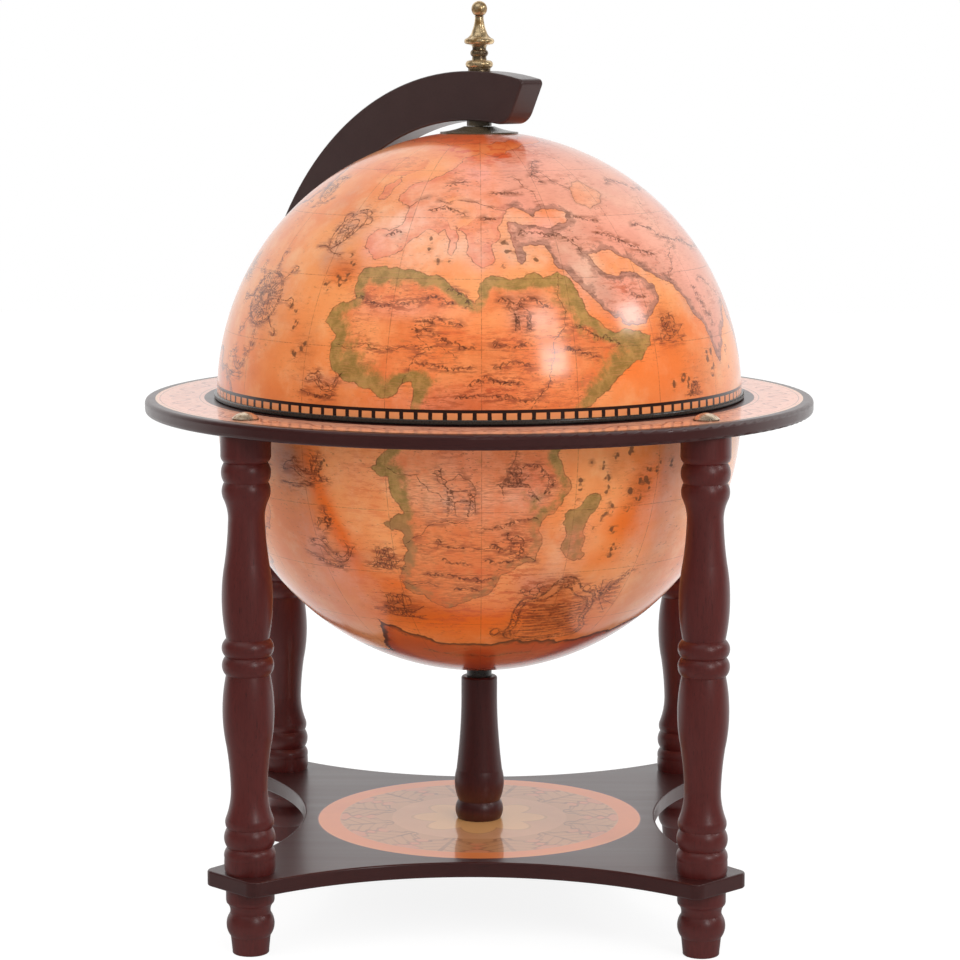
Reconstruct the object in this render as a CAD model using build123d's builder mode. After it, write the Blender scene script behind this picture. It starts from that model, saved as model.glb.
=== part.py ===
"""Tabletop globe bar.

A 33 cm globe stands in a round table ring on four turned legs.  The upper half of the globe hangs
from a quarter-circle arm: it spins on its pivot, and the arm swings back on a hinge to open the bar.

Frame: millimetres, +Z up, floor at Z = 0, origin on the floor below the centre of the globe.
The front is -Y.  The arm and its hinge lie in the vertical plane towards the back-left leg.
"""

import os
from math import cos, radians, sin, sqrt

from build123d import *

os.makedirs("parts", exist_ok=True)

# ---------------------------------------------------------------- driving dimensions (mm)

# Stand
foot_height = 40.5
shelf_thickness = 9.5
leg_top_radius = 15.0
foot_top_radius = 14.6
leg_stand_out = 12.3          # leg axes outside the inner face of the arm
ring_thickness = 9.0
ring_ledge = 8.5              # how far the ring reaches in over the hoop
ring_edge_round = 2.5
print_depth = 0.3             # printed paper, lacquered flush with the wood
ring_print_border = 6.5       # bare wood outside the ring's print
ring_print_gap = 6.2          # bare wood between the dome's trim and the print

# Shelf outline
shelf_waist = 112.8           # centre to the middle of a hollow side
shelf_corner_margin = 17.4    # leg axis to the clipped corner, along the diagonal
shelf_clip_width = 46.5       # length of the clipped corner before rounding
shelf_corner_round = 7.0
shelf_edge_round = 1.2
shelf_print_border = 8.8      # bare wood between the print and a hollow side

# Globe
globe_radius = 165.0
shell_thickness = 3.5
dome_lift = 0.7               # centre of the dome above the ring's top
dome_gap = 0.3                # rim trim above the ring's top

# Rim trim, a channel on the dome's edge
trim_height = 3.0
trim_outer_lip = 1.8
trim_inner_lip = 1.5
trim_web = 1.0                # trim below the shell's edge
trim_edge_round = 0.9
trim_fit = 0.05

# Insert
hoop_width = 17.0
hoop_height = 11.0
hoop_fit = 0.6
deck_thickness = 6.0
deck_fit = 0.5
deck_edge_round = 1.5
bottle_hole_radius = 41.0
glass_hole_radius = 37.0
glass_count = 4
glass_floor_drop = 65.0       # deck's underside to the glass floor's top
glass_floor_thickness = 6.0
insert_wall_gap = 2.0         # boards to the inside of the shell
bottle_floor_rise = 19.5      # bottom of the bowl to the bottle floor's top
bottle_floor_thickness = 6.0
deck_post_radius = 6.0
deck_post_pitch_radius = 112.0
bottle_post_radius = 4.5
bottle_post_pitch_radius = 53.0
tenon_step = 2.0              # post radius to tenon radius
tenon_depth = 4.0
tenon_fit = 0.05

# Arm
arm_clearance = 14.3          # arm's inner face outside the globe
arm_centre_drop = 7.3         # centre of the arm's curve below the ring's top
arm_depth = 30.7
arm_thickness = 19.0
arm_azimuth = 135.0           # direction of the arm's foot, seen from above
arm_nose_angle = 13.2         # the arm's top ends this far beyond the globe's axis
arm_nose_foot_angle = 10.9    # and its underside this far: the end is cut on a slant
arm_nose_round = 13.0
arm_nose_top_round = 3.0
arm_edge_round = 1.2

# Hinge under the arm's foot
leaf_thickness = 1.5
leaf_setback = 0.5            # leaf inside the arm's faces
leaf_gap = 0.3
knuckle_radius = 2.5
knuckle_clearance = 0.3
hinge_pin_radius = 1.25
hinge_pin_fit = 0.05
hinge_middle_knuckle = 6.0
hinge_pin_head_radius = 1.9
hinge_pin_head_height = 0.8
hinge_screw_spread = 4.6      # screw axes to either side of the arm's plane
hinge_screw_start = 9.0       # hinge axis to the first screws
hinge_screw_end = 4.0         # last screws to the inner end of a leaf

# Pivot
rod_radius = 3.0
thread_fit = 0.05
rod_clearance = 0.25
collar_radius = 7.8
pivot_gap = 0.3
flange_radius = 24.4
flange_neck_radius = 9.6
flange_rim_height = 1.0
flange_hollow = 0.6           # sagitta of the flange's hollow flank
collar_height = 3.3
finial_spot_radius = 7.8      # flat cut for the finial on the arm's crown
seat_gap = 0.05
plate_radius = 20.0
plate_thickness = 2.0
washer_radius = 9.0
washer_thickness = 1.2
nut_flats = 10.0
nut_height = 6.0
rod_tail = 1.2                # rod below the nut
rod_grip = 9.0                # rod inside the finial
flange_screw_radius = 1.2
flange_screw_head_radius = 2.4
flange_screw_pitch_radius = 12.5
flange_screw_count = 3
flange_screw_start = 90.0     # direction of the first screw, seen from above
flange_screw_bite = 1.3

# Leg fasteners
bolt_radius = 3.0
bolt_head_radius = 5.5
bolt_head_height = 3.0
bolt_length = 26.0
bolt_hole_clearance = 0.3
socket_flats = 4.0
socket_depth = 2.0
insert_radius = 5.0
insert_length = 13.0
insert_fit = 0.05
cap_radius = 8.0
cap_edge = 0.8
cap_height = 4.4
cap_peg_radius = 1.5
cap_peg_length = 1.6
stud_radius = 4.0
stud_clearance = 0.3
stud_in_foot = 22.0
stud_in_leg = 28.0

# Column and its screws
column_height = 92.8
column_neck_radius = 11.5
column_top_round = 1.4
column_collar_radius = 8.0
column_collar_height = 6.5
column_screw_radius = 2.5
column_screw_head_radius = 5.0
column_screw_head_height = 2.5
column_screw_head_round = 0.8
column_screw_bite = 32.0

# Wood screws of the hoop and the hinge
wood_screw_radius = 1.5
wood_screw_head_radius = 2.7
hoop_screw_count = 6
hoop_screw_start = 15.0       # direction of the first screw, seen from above
hoop_screw_inset = 4.5        # screw axes outside the edge of the ring's hole
hoop_screw_bite = 6.5
hinge_ring_screw_length = 7.5
hinge_arm_screw_length = 18.0

cut_overrun = 14.0            # a through cut runs this far past the surface

# ---------------------------------------------------------------- levels and places


def chord(radius, offset):
    """Half chord of a circle at this distance from its centre."""
    return sqrt(radius**2 - offset**2)


shelf_bottom = foot_height
shelf_top = shelf_bottom + shelf_thickness
leg_height = column_height + column_collar_height + globe_radius
ring_bottom = shelf_top + leg_height
ring_top = ring_bottom + ring_thickness
dome_centre = ring_top + dome_lift
bowl_centre = ring_bottom
shell_inner_radius = globe_radius - shell_thickness
deck_bottom = ring_bottom
glass_floor_top = deck_bottom - glass_floor_drop
glass_floor_bottom = glass_floor_top - glass_floor_thickness
bottle_floor_top = bowl_centre - shell_inner_radius + bottle_floor_rise
bottle_floor_bottom = bottle_floor_top - bottle_floor_thickness
column_top = shelf_top + column_height
hoop_bottom = ring_bottom - hoop_height

arm_inner_radius = globe_radius + arm_clearance
arm_radius = arm_inner_radius + arm_depth
arm_centre_height = ring_top - arm_centre_drop
arm_top = arm_centre_height + arm_radius
arm_underside = arm_centre_height + arm_inner_radius
ring_radius = arm_radius
leg_pitch_radius = arm_inner_radius + leg_stand_out
leg_offset = leg_pitch_radius / sqrt(2)
shelf_corner_reach = leg_pitch_radius + shelf_corner_margin
shelf_print_radius = shelf_waist - shelf_print_border

leg_names = {
    "front_left": (-leg_offset, -leg_offset),
    "front_right": (leg_offset, -leg_offset),
    "back_right": (leg_offset, leg_offset),
    "back_left": (-leg_offset, leg_offset),
}
capped_legs = [place for name, place in leg_names.items() if name != "back_left"]

arm_u = (cos(radians(arm_azimuth)), sin(radians(arm_azimuth)))
arm_plane = Plane(origin=(0, 0, 0), x_dir=(arm_u[0], arm_u[1], 0), z_dir=(arm_u[1], -arm_u[0], 0))

hinge_reach = ring_radius + knuckle_radius + knuckle_clearance
leaf_width = arm_thickness - 2 * leaf_setback
leaf_reach = hinge_reach - arm_inner_radius - leaf_setback
hinge_height = ring_top + leaf_thickness + leaf_gap / 2
arm_foot = hinge_height + leaf_gap / 2 + leaf_thickness
nose = radians(arm_nose_angle)
nose_foot = radians(arm_nose_foot_angle)

hoop_radius = chord(shell_inner_radius, hoop_height) - hoop_fit
hoop_inner_radius = hoop_radius - hoop_width
ring_hole_radius = hoop_radius - ring_ledge
hoop_screw_pitch_radius = ring_hole_radius + hoop_screw_inset
deck_radius = ring_hole_radius - deck_fit
glass_pitch_radius = (deck_radius + bottle_hole_radius) / 2
glass_floor_radius = chord(shell_inner_radius, deck_bottom - glass_floor_bottom) - insert_wall_gap
bottle_floor_radius = chord(shell_inner_radius, deck_bottom - bottle_floor_bottom) - insert_wall_gap

trim_bottom = ring_top + dome_gap
trim_inner_radius = shell_inner_radius - trim_inner_lip
trim_outer_radius = globe_radius + trim_outer_lip
ring_print_inner = trim_outer_radius + ring_print_gap
ring_print_outer = ring_radius - ring_print_border
shell_edge = trim_bottom + trim_web
finial_seat = arm_centre_height + chord(arm_radius, finial_spot_radius)
collar_bottom = arm_underside - collar_height
flange_top = collar_bottom - pivot_gap
rod_bore_radius = rod_radius + seat_gap
plate_bottom = dome_centre + chord(shell_inner_radius, plate_radius) - seat_gap - plate_thickness
nut_top = plate_bottom - pivot_gap - washer_thickness
rod_bottom = nut_top - nut_height - rod_tail
flange_screw_length = (
    dome_centre + chord(globe_radius, flange_screw_pitch_radius) + flange_screw_bite - plate_bottom
)
cap_rise = cap_height - cap_edge
cap_crown_radius = (cap_radius**2 + cap_rise**2) / (2 * cap_rise)


def polar(radius, angle):
    """Point on a circle, the angle in degrees."""
    return (radius * cos(radians(angle)), radius * sin(radians(angle)))


def spread(start, count):
    """Directions of a ring of equal parts, in degrees."""
    return [start + 360 * k / count for k in range(count)]


def save(name, label):
    """Label a finished piece and write its STEP file."""
    name.part.label = label
    export_step(name.part, f"parts/{label}.step")


# ---------------------------------------------------------------- turned profiles
# Each profile runs up the outside of a turned piece: the height and radius of each groove or edge,
# and the sagitta of the arc below it (0: a straight line, negative: hollow).


def turned(start_radius, spans, foot_level):
    """Half section of a turned piece: from its foot up through the spans, closed on the axis."""
    low = (start_radius, foot_level)
    with BuildSketch(Plane.XZ) as section:
        with BuildLine():
            Line((0, foot_level), low)
            for height, radius, sagitta in spans:
                high = (radius, foot_level + height)
                if sagitta == 0:
                    Line(low, high)
                else:
                    SagittaArc(low, high, -sagitta)
                low = high
            Line(low, (0, low[1]))
            Line((0, low[1]), (0, foot_level))
        make_face()
    return section.sketch


leg_start_radius = 14.9
leg_low_spans = [
    (9.0, 15.3, 0.35),        # base drum
    (15.4, 13.5, 0.9),
    (27.2, 13.6, 1.85),       # lower bead
    (34.0, 14.0, 0.85),       # flared collar
    (50.5, 11.0, -0.75),      # cove into the stem
    (77.0, 13.3, -0.45),
    (120.5, 13.2, 2.25),      # lower swelling
    (131.8, 13.4, 2.25),      # twin middle beads
    (142.4, 12.8, 2.45),
]
leg_high_spans = [            # measured down from the top of the leg
    (76.3, 13.25, 2.2),       # upper swelling
    (52.3, 11.0, -0.35),
    (37.8, 13.6, -1.0),       # cove up to the top beads
    (28.2, 13.1, 1.15),
    (16.3, 13.0, 1.75),
    (11.3, 15.0, 0.7),
    (0.0, leg_top_radius, 0.0),  # top drum
]
leg_spans = leg_low_spans + [
    (leg_height - drop, radius, sagitta) for drop, radius, sagitta in leg_high_spans
]

foot_start_radius = 10.0
foot_spans = [
    (1.4, 11.0, 0.45),        # rounded floor edge
    (11.0, 12.0, 0.0),        # tapered toe
    (25.0, 12.3, 2.3),        # bulb
    (31.5, 14.2, -0.9),       # cove
    (34.0, 14.6, 0.15),
    (foot_height, foot_top_radius, 0.0),
]

column_start_radius = 13.6
column_spans = [
    (12.0, 13.4, 1.85),       # base bead
    (32.0, 14.65, 1.75),      # swelling
    (52.0, 12.65, -0.12),
    (78.0, 11.5, -0.25),      # slow taper up to the neck
    (column_height - column_top_round, column_neck_radius, 0.0),
    (column_height, column_neck_radius - column_top_round, column_top_round * (1 - sqrt(0.5))),
]

finial_start_radius = 7.0
finial_spans = [
    (1.9, 7.1, -0.1),         # foot
    (6.4, 7.2, 1.4),          # base disc
    (6.9, 4.6, 0.0),
    (9.0, 4.4, 0.0),
    (13.1, 4.4, 1.2),         # bead
    (15.9, 4.9, -0.3),
    (16.5, 7.4, 0.0),         # underside of the bell
    (20.2, 7.9, 1.7),         # bell's rim
    (24.4, 4.6, -0.6),        # bell
    (33.4, 2.65, -0.4),
    (33.9, 2.9, 0.0),
]
finial_ball_radius = 4.9
finial_ball_sink = 0.5        # ball let down over the top of the bell
finial_ball_height = finial_spans[-1][0] + finial_ball_radius - finial_ball_sink

# ---------------------------------------------------------------- fasteners


def screw(radius, head_radius, length, fit=0.0):
    """Countersunk screw with its head up at the origin; with a fit, the hole that it seats in."""
    shank = radius + fit
    head = head_radius + fit
    with BuildPart() as piece:
        with BuildSketch(Plane.XZ):
            Polygon((0, 0), (head, 0), (shank, shank - head), (shank, -length), (0, -length), align=None)
        revolve(axis=Axis.Z)
    return piece.part


def wood_screw(length, fit=0.0):
    """Small wood screw, or its hole."""
    return screw(wood_screw_radius, wood_screw_head_radius, length, fit)


def column_screw(fit=0.0):
    """Screw up through the shelf into the column, or its hole."""
    return screw(column_screw_radius, column_screw_head_radius, shelf_thickness + column_screw_bite, fit)


def flange_screw(fit=0.0):
    """Screw up through the backing plate and the dome into the flange, or its hole."""
    return screw(flange_screw_radius, flange_screw_head_radius, flange_screw_length, fit)


def facing_up(x, y, z):
    """Place of a screw driven upwards, its head at this point."""
    return Location((x, y, z), (180, 0, 0))


hoop_screw_places = [
    facing_up(*polar(hoop_screw_pitch_radius, angle), hoop_bottom)
    for angle in spread(hoop_screw_start, hoop_screw_count)
]
flange_screw_places = [
    facing_up(*polar(flange_screw_pitch_radius, angle), plate_bottom)
    for angle in spread(flange_screw_start, flange_screw_count)
]
hinge_screw_points = [
    arm_plane.from_local_coords((hinge_reach - reach, 0, side * hinge_screw_spread))
    for reach in (hinge_screw_start, leaf_reach - hinge_screw_end)
    for side in (-1, 1)
]
hinge_ring_screw_places = [
    Location((point.X, point.Y, ring_top + leaf_thickness)) for point in hinge_screw_points
]
hinge_arm_screw_places = [
    facing_up(point.X, point.Y, arm_foot - leaf_thickness) for point in hinge_screw_points
]

# ---------------------------------------------------------------- legs and feet

for name, (x, y) in leg_names.items():
    with BuildPart() as leg:
        revolve(turned(leg_start_radius, leg_spans, shelf_top), axis=Axis.Z)
        with BuildSketch(Plane.XY.offset(ring_bottom)):
            Circle(insert_radius + insert_fit)
        extrude(amount=-insert_length, mode=Mode.SUBTRACT)
        with BuildSketch(Plane.XY.offset(ring_bottom)):
            Circle(bolt_radius + bolt_hole_clearance)
        extrude(amount=-bolt_length, mode=Mode.SUBTRACT)
        with BuildSketch(Plane.XY.offset(shelf_top)):
            Circle(stud_radius + thread_fit)
        extrude(amount=stud_in_leg, mode=Mode.SUBTRACT)
    leg.part.locate(Location((x, y, 0)))
    save(leg, f"leg_{name}")

    with BuildPart() as foot:
        revolve(turned(foot_start_radius, foot_spans, 0), axis=Axis.Z)
        with BuildSketch(Plane.XY.offset(shelf_bottom)):
            Circle(stud_radius + thread_fit)
        extrude(amount=-stud_in_foot, mode=Mode.SUBTRACT)
    foot.part.locate(Location((x, y, 0)))
    save(foot, f"foot_{name}")

with BuildPart() as foot_studs:
    with BuildSketch(Plane.XY.offset(shelf_bottom - stud_in_foot)):
        with Locations(*leg_names.values()):
            Circle(stud_radius)
    extrude(amount=stud_in_foot + shelf_thickness + stud_in_leg)
save(foot_studs, "foot_studs")

with BuildPart() as leg_inserts:
    with BuildSketch(Plane.XY.offset(ring_bottom)):
        with Locations(*leg_names.values()):
            Circle(insert_radius)
            Circle(bolt_radius + thread_fit, mode=Mode.SUBTRACT)
    extrude(amount=-insert_length)
save(leg_inserts, "leg_inserts")

with BuildPart() as leg_bolts:
    with BuildSketch(Plane.XY.offset(ring_top)):
        with Locations(*leg_names.values()):
            Circle(bolt_radius)
    extrude(amount=-bolt_length)
    with BuildSketch(Plane.XY.offset(ring_top)):
        with Locations(*leg_names.values()):
            Circle(bolt_head_radius)
    extrude(amount=-bolt_head_height)
    with BuildSketch(Plane.XY.offset(ring_top)):
        with Locations(*leg_names.values()):
            RegularPolygon(socket_flats / 2, 6, major_radius=False)
    extrude(amount=-socket_depth, mode=Mode.SUBTRACT)
save(leg_bolts, "leg_bolts")

with BuildPart() as cap:
    with BuildSketch(Plane.XZ):
        with BuildLine():
            Line((0, ring_top - cap_peg_length), (cap_peg_radius, ring_top - cap_peg_length))
            Line((cap_peg_radius, ring_top - cap_peg_length), (cap_peg_radius, ring_top))
            Line((cap_peg_radius, ring_top), (cap_radius, ring_top))
            Line((cap_radius, ring_top), (cap_radius, ring_top + cap_edge))
            RadiusArc((cap_radius, ring_top + cap_edge), (0, ring_top + cap_height), -cap_crown_radius)
            Line((0, ring_top + cap_height), (0, ring_top - cap_peg_length))
        make_face()
    revolve(axis=Axis.Z)

with BuildPart() as leg_bolt_caps:
    with Locations(*capped_legs):
        add(cap.part)
save(leg_bolt_caps, "leg_bolt_caps")

# ---------------------------------------------------------------- shelf

corner_along = shelf_corner_reach / sqrt(2)
corner_aside = shelf_clip_width / 2 / sqrt(2)

with BuildPart() as shelf:
    with BuildSketch(Plane.XY.offset(shelf_bottom)):
        with BuildLine():
            for quarter in range(4):
                near = Vector(corner_along - corner_aside, -corner_along - corner_aside)
                far = Vector(corner_along + corner_aside, -corner_along + corner_aside)
                last = Vector(-near.X, near.Y)
                waist = Vector(0, -shelf_waist)
                turn = 90 * quarter
                ThreePointArc(*(point.rotate(Axis.Z, turn) for point in (last, waist, near)))
                Line(near.rotate(Axis.Z, turn), far.rotate(Axis.Z, turn))
        make_face()
    extrude(amount=shelf_thickness)
    fillet(shelf.edges().filter_by(Axis.Z), shelf_corner_round)
    fillet(shelf.faces().filter_by(Axis.Z).edges(), shelf_edge_round)
    with BuildSketch(Plane.XY.offset(shelf_top)):
        Circle(shelf_print_radius)
    extrude(amount=-print_depth, mode=Mode.SUBTRACT)
    with Locations(*[(x, y, shelf_top) for x, y in leg_names.values()]):
        Hole(stud_radius + stud_clearance)
    with Locations(facing_up(0, 0, shelf_bottom)):
        add(column_screw(thread_fit), mode=Mode.SUBTRACT)
save(shelf, "shelf")

with BuildPart() as shelf_print:
    with BuildSketch(Plane.XY.offset(shelf_top)):
        Circle(shelf_print_radius)
        Circle(column_screw_radius + thread_fit, mode=Mode.SUBTRACT)
    extrude(amount=-print_depth)
save(shelf_print, "shelf_print")

# ---------------------------------------------------------------- column

with BuildPart() as column:
    revolve(turned(column_start_radius, column_spans, shelf_top), axis=Axis.Z)
    with BuildSketch(Plane.XY.offset(shelf_top)):
        Circle(column_screw_radius + thread_fit)
    extrude(amount=column_screw_bite, mode=Mode.SUBTRACT)
    with BuildSketch(Plane.XY.offset(column_top)):
        Circle(column_screw_radius + thread_fit)
    extrude(amount=-column_screw_bite, mode=Mode.SUBTRACT)
save(column, "column")

with BuildPart() as column_base_screw:
    with Locations(facing_up(0, 0, shelf_bottom)):
        add(column_screw())
save(column_base_screw, "column_base_screw")

with BuildPart() as column_collar:
    with BuildSketch(Plane.XY.offset(column_top)):
        Circle(column_collar_radius)
        Circle(column_screw_radius + thread_fit, mode=Mode.SUBTRACT)
    extrude(amount=column_collar_height)
save(column_collar, "column_collar")

top_screw_seat = bowl_centre - chord(shell_inner_radius, column_screw_head_radius) + seat_gap
with BuildPart() as column_top_screw:
    with BuildSketch(Plane.XY.offset(column_top - column_screw_bite)):
        Circle(column_screw_radius)
    extrude(amount=top_screw_seat - column_top + column_screw_bite)
    with BuildSketch(Plane.XY.offset(top_screw_seat)):
        Circle(column_screw_head_radius)
    extrude(amount=column_screw_head_height)
    fillet(column_top_screw.edges().group_by(Axis.Z)[-1], column_screw_head_round)
save(column_top_screw, "column_top_screw")

# ---------------------------------------------------------------- ring

with BuildPart() as ring_board:
    with BuildSketch(Plane.XY.offset(ring_bottom)):
        Circle(ring_radius)
        Circle(ring_hole_radius, mode=Mode.SUBTRACT)
    extrude(amount=ring_thickness)
    fillet(ring_board.edges().filter_by(GeomType.CIRCLE).group_by(SortBy.RADIUS)[-1], ring_edge_round)
    with BuildSketch(Plane.XY.offset(ring_top)):
        Circle(ring_print_outer)
        Circle(ring_print_inner, mode=Mode.SUBTRACT)
    extrude(amount=-print_depth, mode=Mode.SUBTRACT)
    with Locations(*[(x, y, ring_top) for x, y in leg_names.values()]):
        CounterBoreHole(
            bolt_radius + bolt_hole_clearance, bolt_head_radius + bolt_hole_clearance, bolt_head_height
        )
    with Locations(*hinge_ring_screw_places):
        add(wood_screw(hinge_ring_screw_length, thread_fit), mode=Mode.SUBTRACT)
    with Locations(*hoop_screw_places):
        add(wood_screw(hoop_height + hoop_screw_bite, thread_fit), mode=Mode.SUBTRACT)
save(ring_board, "ring_board")

with BuildPart() as ring_print:
    with BuildSketch(Plane.XY.offset(ring_top)):
        Circle(ring_print_outer)
        Circle(ring_print_inner, mode=Mode.SUBTRACT)
        with Locations(*leg_names.values()):
            Circle(bolt_head_radius + bolt_hole_clearance, mode=Mode.SUBTRACT)
    extrude(amount=-print_depth)
    with Locations(*hinge_ring_screw_places):
        add(wood_screw(hinge_ring_screw_length, thread_fit), mode=Mode.SUBTRACT)
save(ring_print, "ring_print")

# ---------------------------------------------------------------- lower half globe

with BuildPart() as lower_hemisphere:
    with Locations((0, 0, bowl_centre)):
        Sphere(globe_radius, arc_size1=-90, arc_size2=0, align=None)
        Sphere(shell_inner_radius, arc_size1=-90, arc_size2=0, align=None, mode=Mode.SUBTRACT)
    with Locations((0, 0, bowl_centre - globe_radius)):
        Cylinder(column_screw_radius + thread_fit, 2 * cut_overrun, mode=Mode.SUBTRACT)
save(lower_hemisphere, "lower_hemisphere")

with BuildPart() as rim_hoop:
    with BuildSketch(Plane.XY.offset(hoop_bottom)):
        Circle(hoop_radius)
        Circle(hoop_inner_radius, mode=Mode.SUBTRACT)
    extrude(amount=hoop_height)
    with Locations(*hoop_screw_places):
        add(wood_screw(hoop_height + hoop_screw_bite, thread_fit), mode=Mode.SUBTRACT)
save(rim_hoop, "rim_hoop")

with BuildPart() as hoop_screws:
    with Locations(*hoop_screw_places):
        add(wood_screw(hoop_height + hoop_screw_bite))
save(hoop_screws, "hoop_screws")

# ---------------------------------------------------------------- insert for bottle and glasses

deck_post_places = PolarLocations(deck_post_pitch_radius, glass_count, start_angle=180 / glass_count)
bottle_post_places = PolarLocations(bottle_post_pitch_radius, glass_count, start_angle=180 / glass_count)

with BuildPart() as deck:
    with BuildSketch(Plane.XY.offset(deck_bottom)):
        Circle(deck_radius)
        Circle(bottle_hole_radius, mode=Mode.SUBTRACT)
        with PolarLocations(glass_pitch_radius, glass_count):
            Circle(glass_hole_radius, mode=Mode.SUBTRACT)
    extrude(amount=deck_thickness)
    fillet(deck.edges().group_by(Axis.Z)[-1], deck_edge_round)
    with BuildSketch(Plane.XY.offset(deck_bottom)):
        with deck_post_places:
            Circle(deck_post_radius - tenon_step + tenon_fit)
    extrude(amount=tenon_depth, mode=Mode.SUBTRACT)
save(deck, "deck")

with BuildPart() as deck_posts:
    with BuildSketch(Plane.XY.offset(glass_floor_top)):
        with deck_post_places:
            Circle(deck_post_radius)
    extrude(amount=glass_floor_drop)
    with BuildSketch(Plane.XY.offset(glass_floor_top - tenon_depth)):
        with deck_post_places:
            Circle(deck_post_radius - tenon_step)
    extrude(amount=glass_floor_drop + 2 * tenon_depth)
save(deck_posts, "deck_posts")

with BuildPart() as glass_floor:
    with BuildSketch(Plane.XY.offset(glass_floor_bottom)):
        Circle(glass_floor_radius)
        Circle(bottle_hole_radius, mode=Mode.SUBTRACT)
    extrude(amount=glass_floor_thickness)
    with BuildSketch(Plane.XY.offset(glass_floor_top)):
        with deck_post_places:
            Circle(deck_post_radius - tenon_step + tenon_fit)
    extrude(amount=-tenon_depth, mode=Mode.SUBTRACT)
    with BuildSketch(Plane.XY.offset(glass_floor_bottom)):
        with bottle_post_places:
            Circle(bottle_post_radius - tenon_step + tenon_fit)
    extrude(amount=tenon_depth, mode=Mode.SUBTRACT)
save(glass_floor, "glass_floor")

with BuildPart() as bottle_posts:
    with BuildSketch(Plane.XY.offset(bottle_floor_top)):
        with bottle_post_places:
            Circle(bottle_post_radius)
    extrude(amount=glass_floor_bottom - bottle_floor_top)
    with BuildSketch(Plane.XY.offset(bottle_floor_top - tenon_depth)):
        with bottle_post_places:
            Circle(bottle_post_radius - tenon_step)
    extrude(amount=glass_floor_bottom - bottle_floor_top + 2 * tenon_depth)
save(bottle_posts, "bottle_posts")

with BuildPart() as bottle_floor:
    with BuildSketch(Plane.XY.offset(bottle_floor_bottom)):
        Circle(bottle_floor_radius)
    extrude(amount=bottle_floor_thickness)
    with BuildSketch(Plane.XY.offset(bottle_floor_top)):
        with bottle_post_places:
            Circle(bottle_post_radius - tenon_step + tenon_fit)
    extrude(amount=-tenon_depth, mode=Mode.SUBTRACT)
save(bottle_floor, "bottle_floor")

# ---------------------------------------------------------------- dome

with BuildPart() as upper_hemisphere:
    with Locations((0, 0, dome_centre)):
        Sphere(globe_radius, arc_size1=0, arc_size2=90, align=None)
        Sphere(shell_inner_radius, arc_size1=0, arc_size2=90, align=None, mode=Mode.SUBTRACT)
    split(bisect_by=Plane.XY.offset(shell_edge), keep=Keep.TOP)
    with Locations((0, 0, dome_centre + globe_radius)):
        Cylinder(rod_radius + rod_clearance, 2 * cut_overrun, mode=Mode.SUBTRACT)
    with Locations(*flange_screw_places):
        add(flange_screw(thread_fit), mode=Mode.SUBTRACT)
save(upper_hemisphere, "upper_hemisphere")

with BuildPart() as dome_rim_trim:
    with BuildSketch(Plane.XZ):
        with Locations((trim_inner_radius, trim_bottom)):
            Rectangle(trim_outer_radius - trim_inner_radius, trim_height, align=Align.MIN)
        fillet(vertices().group_by(Axis.X)[-1], trim_edge_round)
        with Locations((shell_inner_radius - trim_fit, shell_edge)):
            Rectangle(shell_thickness + 2 * trim_fit, trim_height, align=Align.MIN, mode=Mode.SUBTRACT)
    revolve(axis=Axis.Z)
save(dome_rim_trim, "dome_rim_trim")

flange_seat_radius = globe_radius + seat_gap
with BuildPart() as dome_flange:
    with BuildSketch(Plane.XZ):
        with BuildLine():
            rim_low = (flange_radius, dome_centre + chord(flange_seat_radius, flange_radius))
            rim_high = (flange_radius, rim_low[1] + flange_rim_height)
            bore_low = (rod_bore_radius, dome_centre + chord(flange_seat_radius, rod_bore_radius))
            RadiusArc(bore_low, rim_low, flange_seat_radius)
            Line(rim_low, rim_high)
            SagittaArc(rim_high, (flange_neck_radius, flange_top), flange_hollow)
            Line((flange_neck_radius, flange_top), (rod_bore_radius, flange_top))
            Line((rod_bore_radius, flange_top), bore_low)
        make_face()
    revolve(axis=Axis.Z)
    with Locations(*flange_screw_places):
        add(flange_screw(thread_fit), mode=Mode.SUBTRACT)
save(dome_flange, "dome_flange")

with BuildPart() as dome_backing_plate:
    with BuildSketch(Plane.XY.offset(plate_bottom)):
        Circle(plate_radius)
        Circle(rod_bore_radius, mode=Mode.SUBTRACT)
    extrude(amount=plate_thickness)
    with Locations(*flange_screw_places):
        add(flange_screw(thread_fit), mode=Mode.SUBTRACT)
save(dome_backing_plate, "dome_backing_plate")

with BuildPart() as flange_screws:
    with Locations(*flange_screw_places):
        add(flange_screw())
save(flange_screws, "flange_screws")

# ---------------------------------------------------------------- arm

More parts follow.
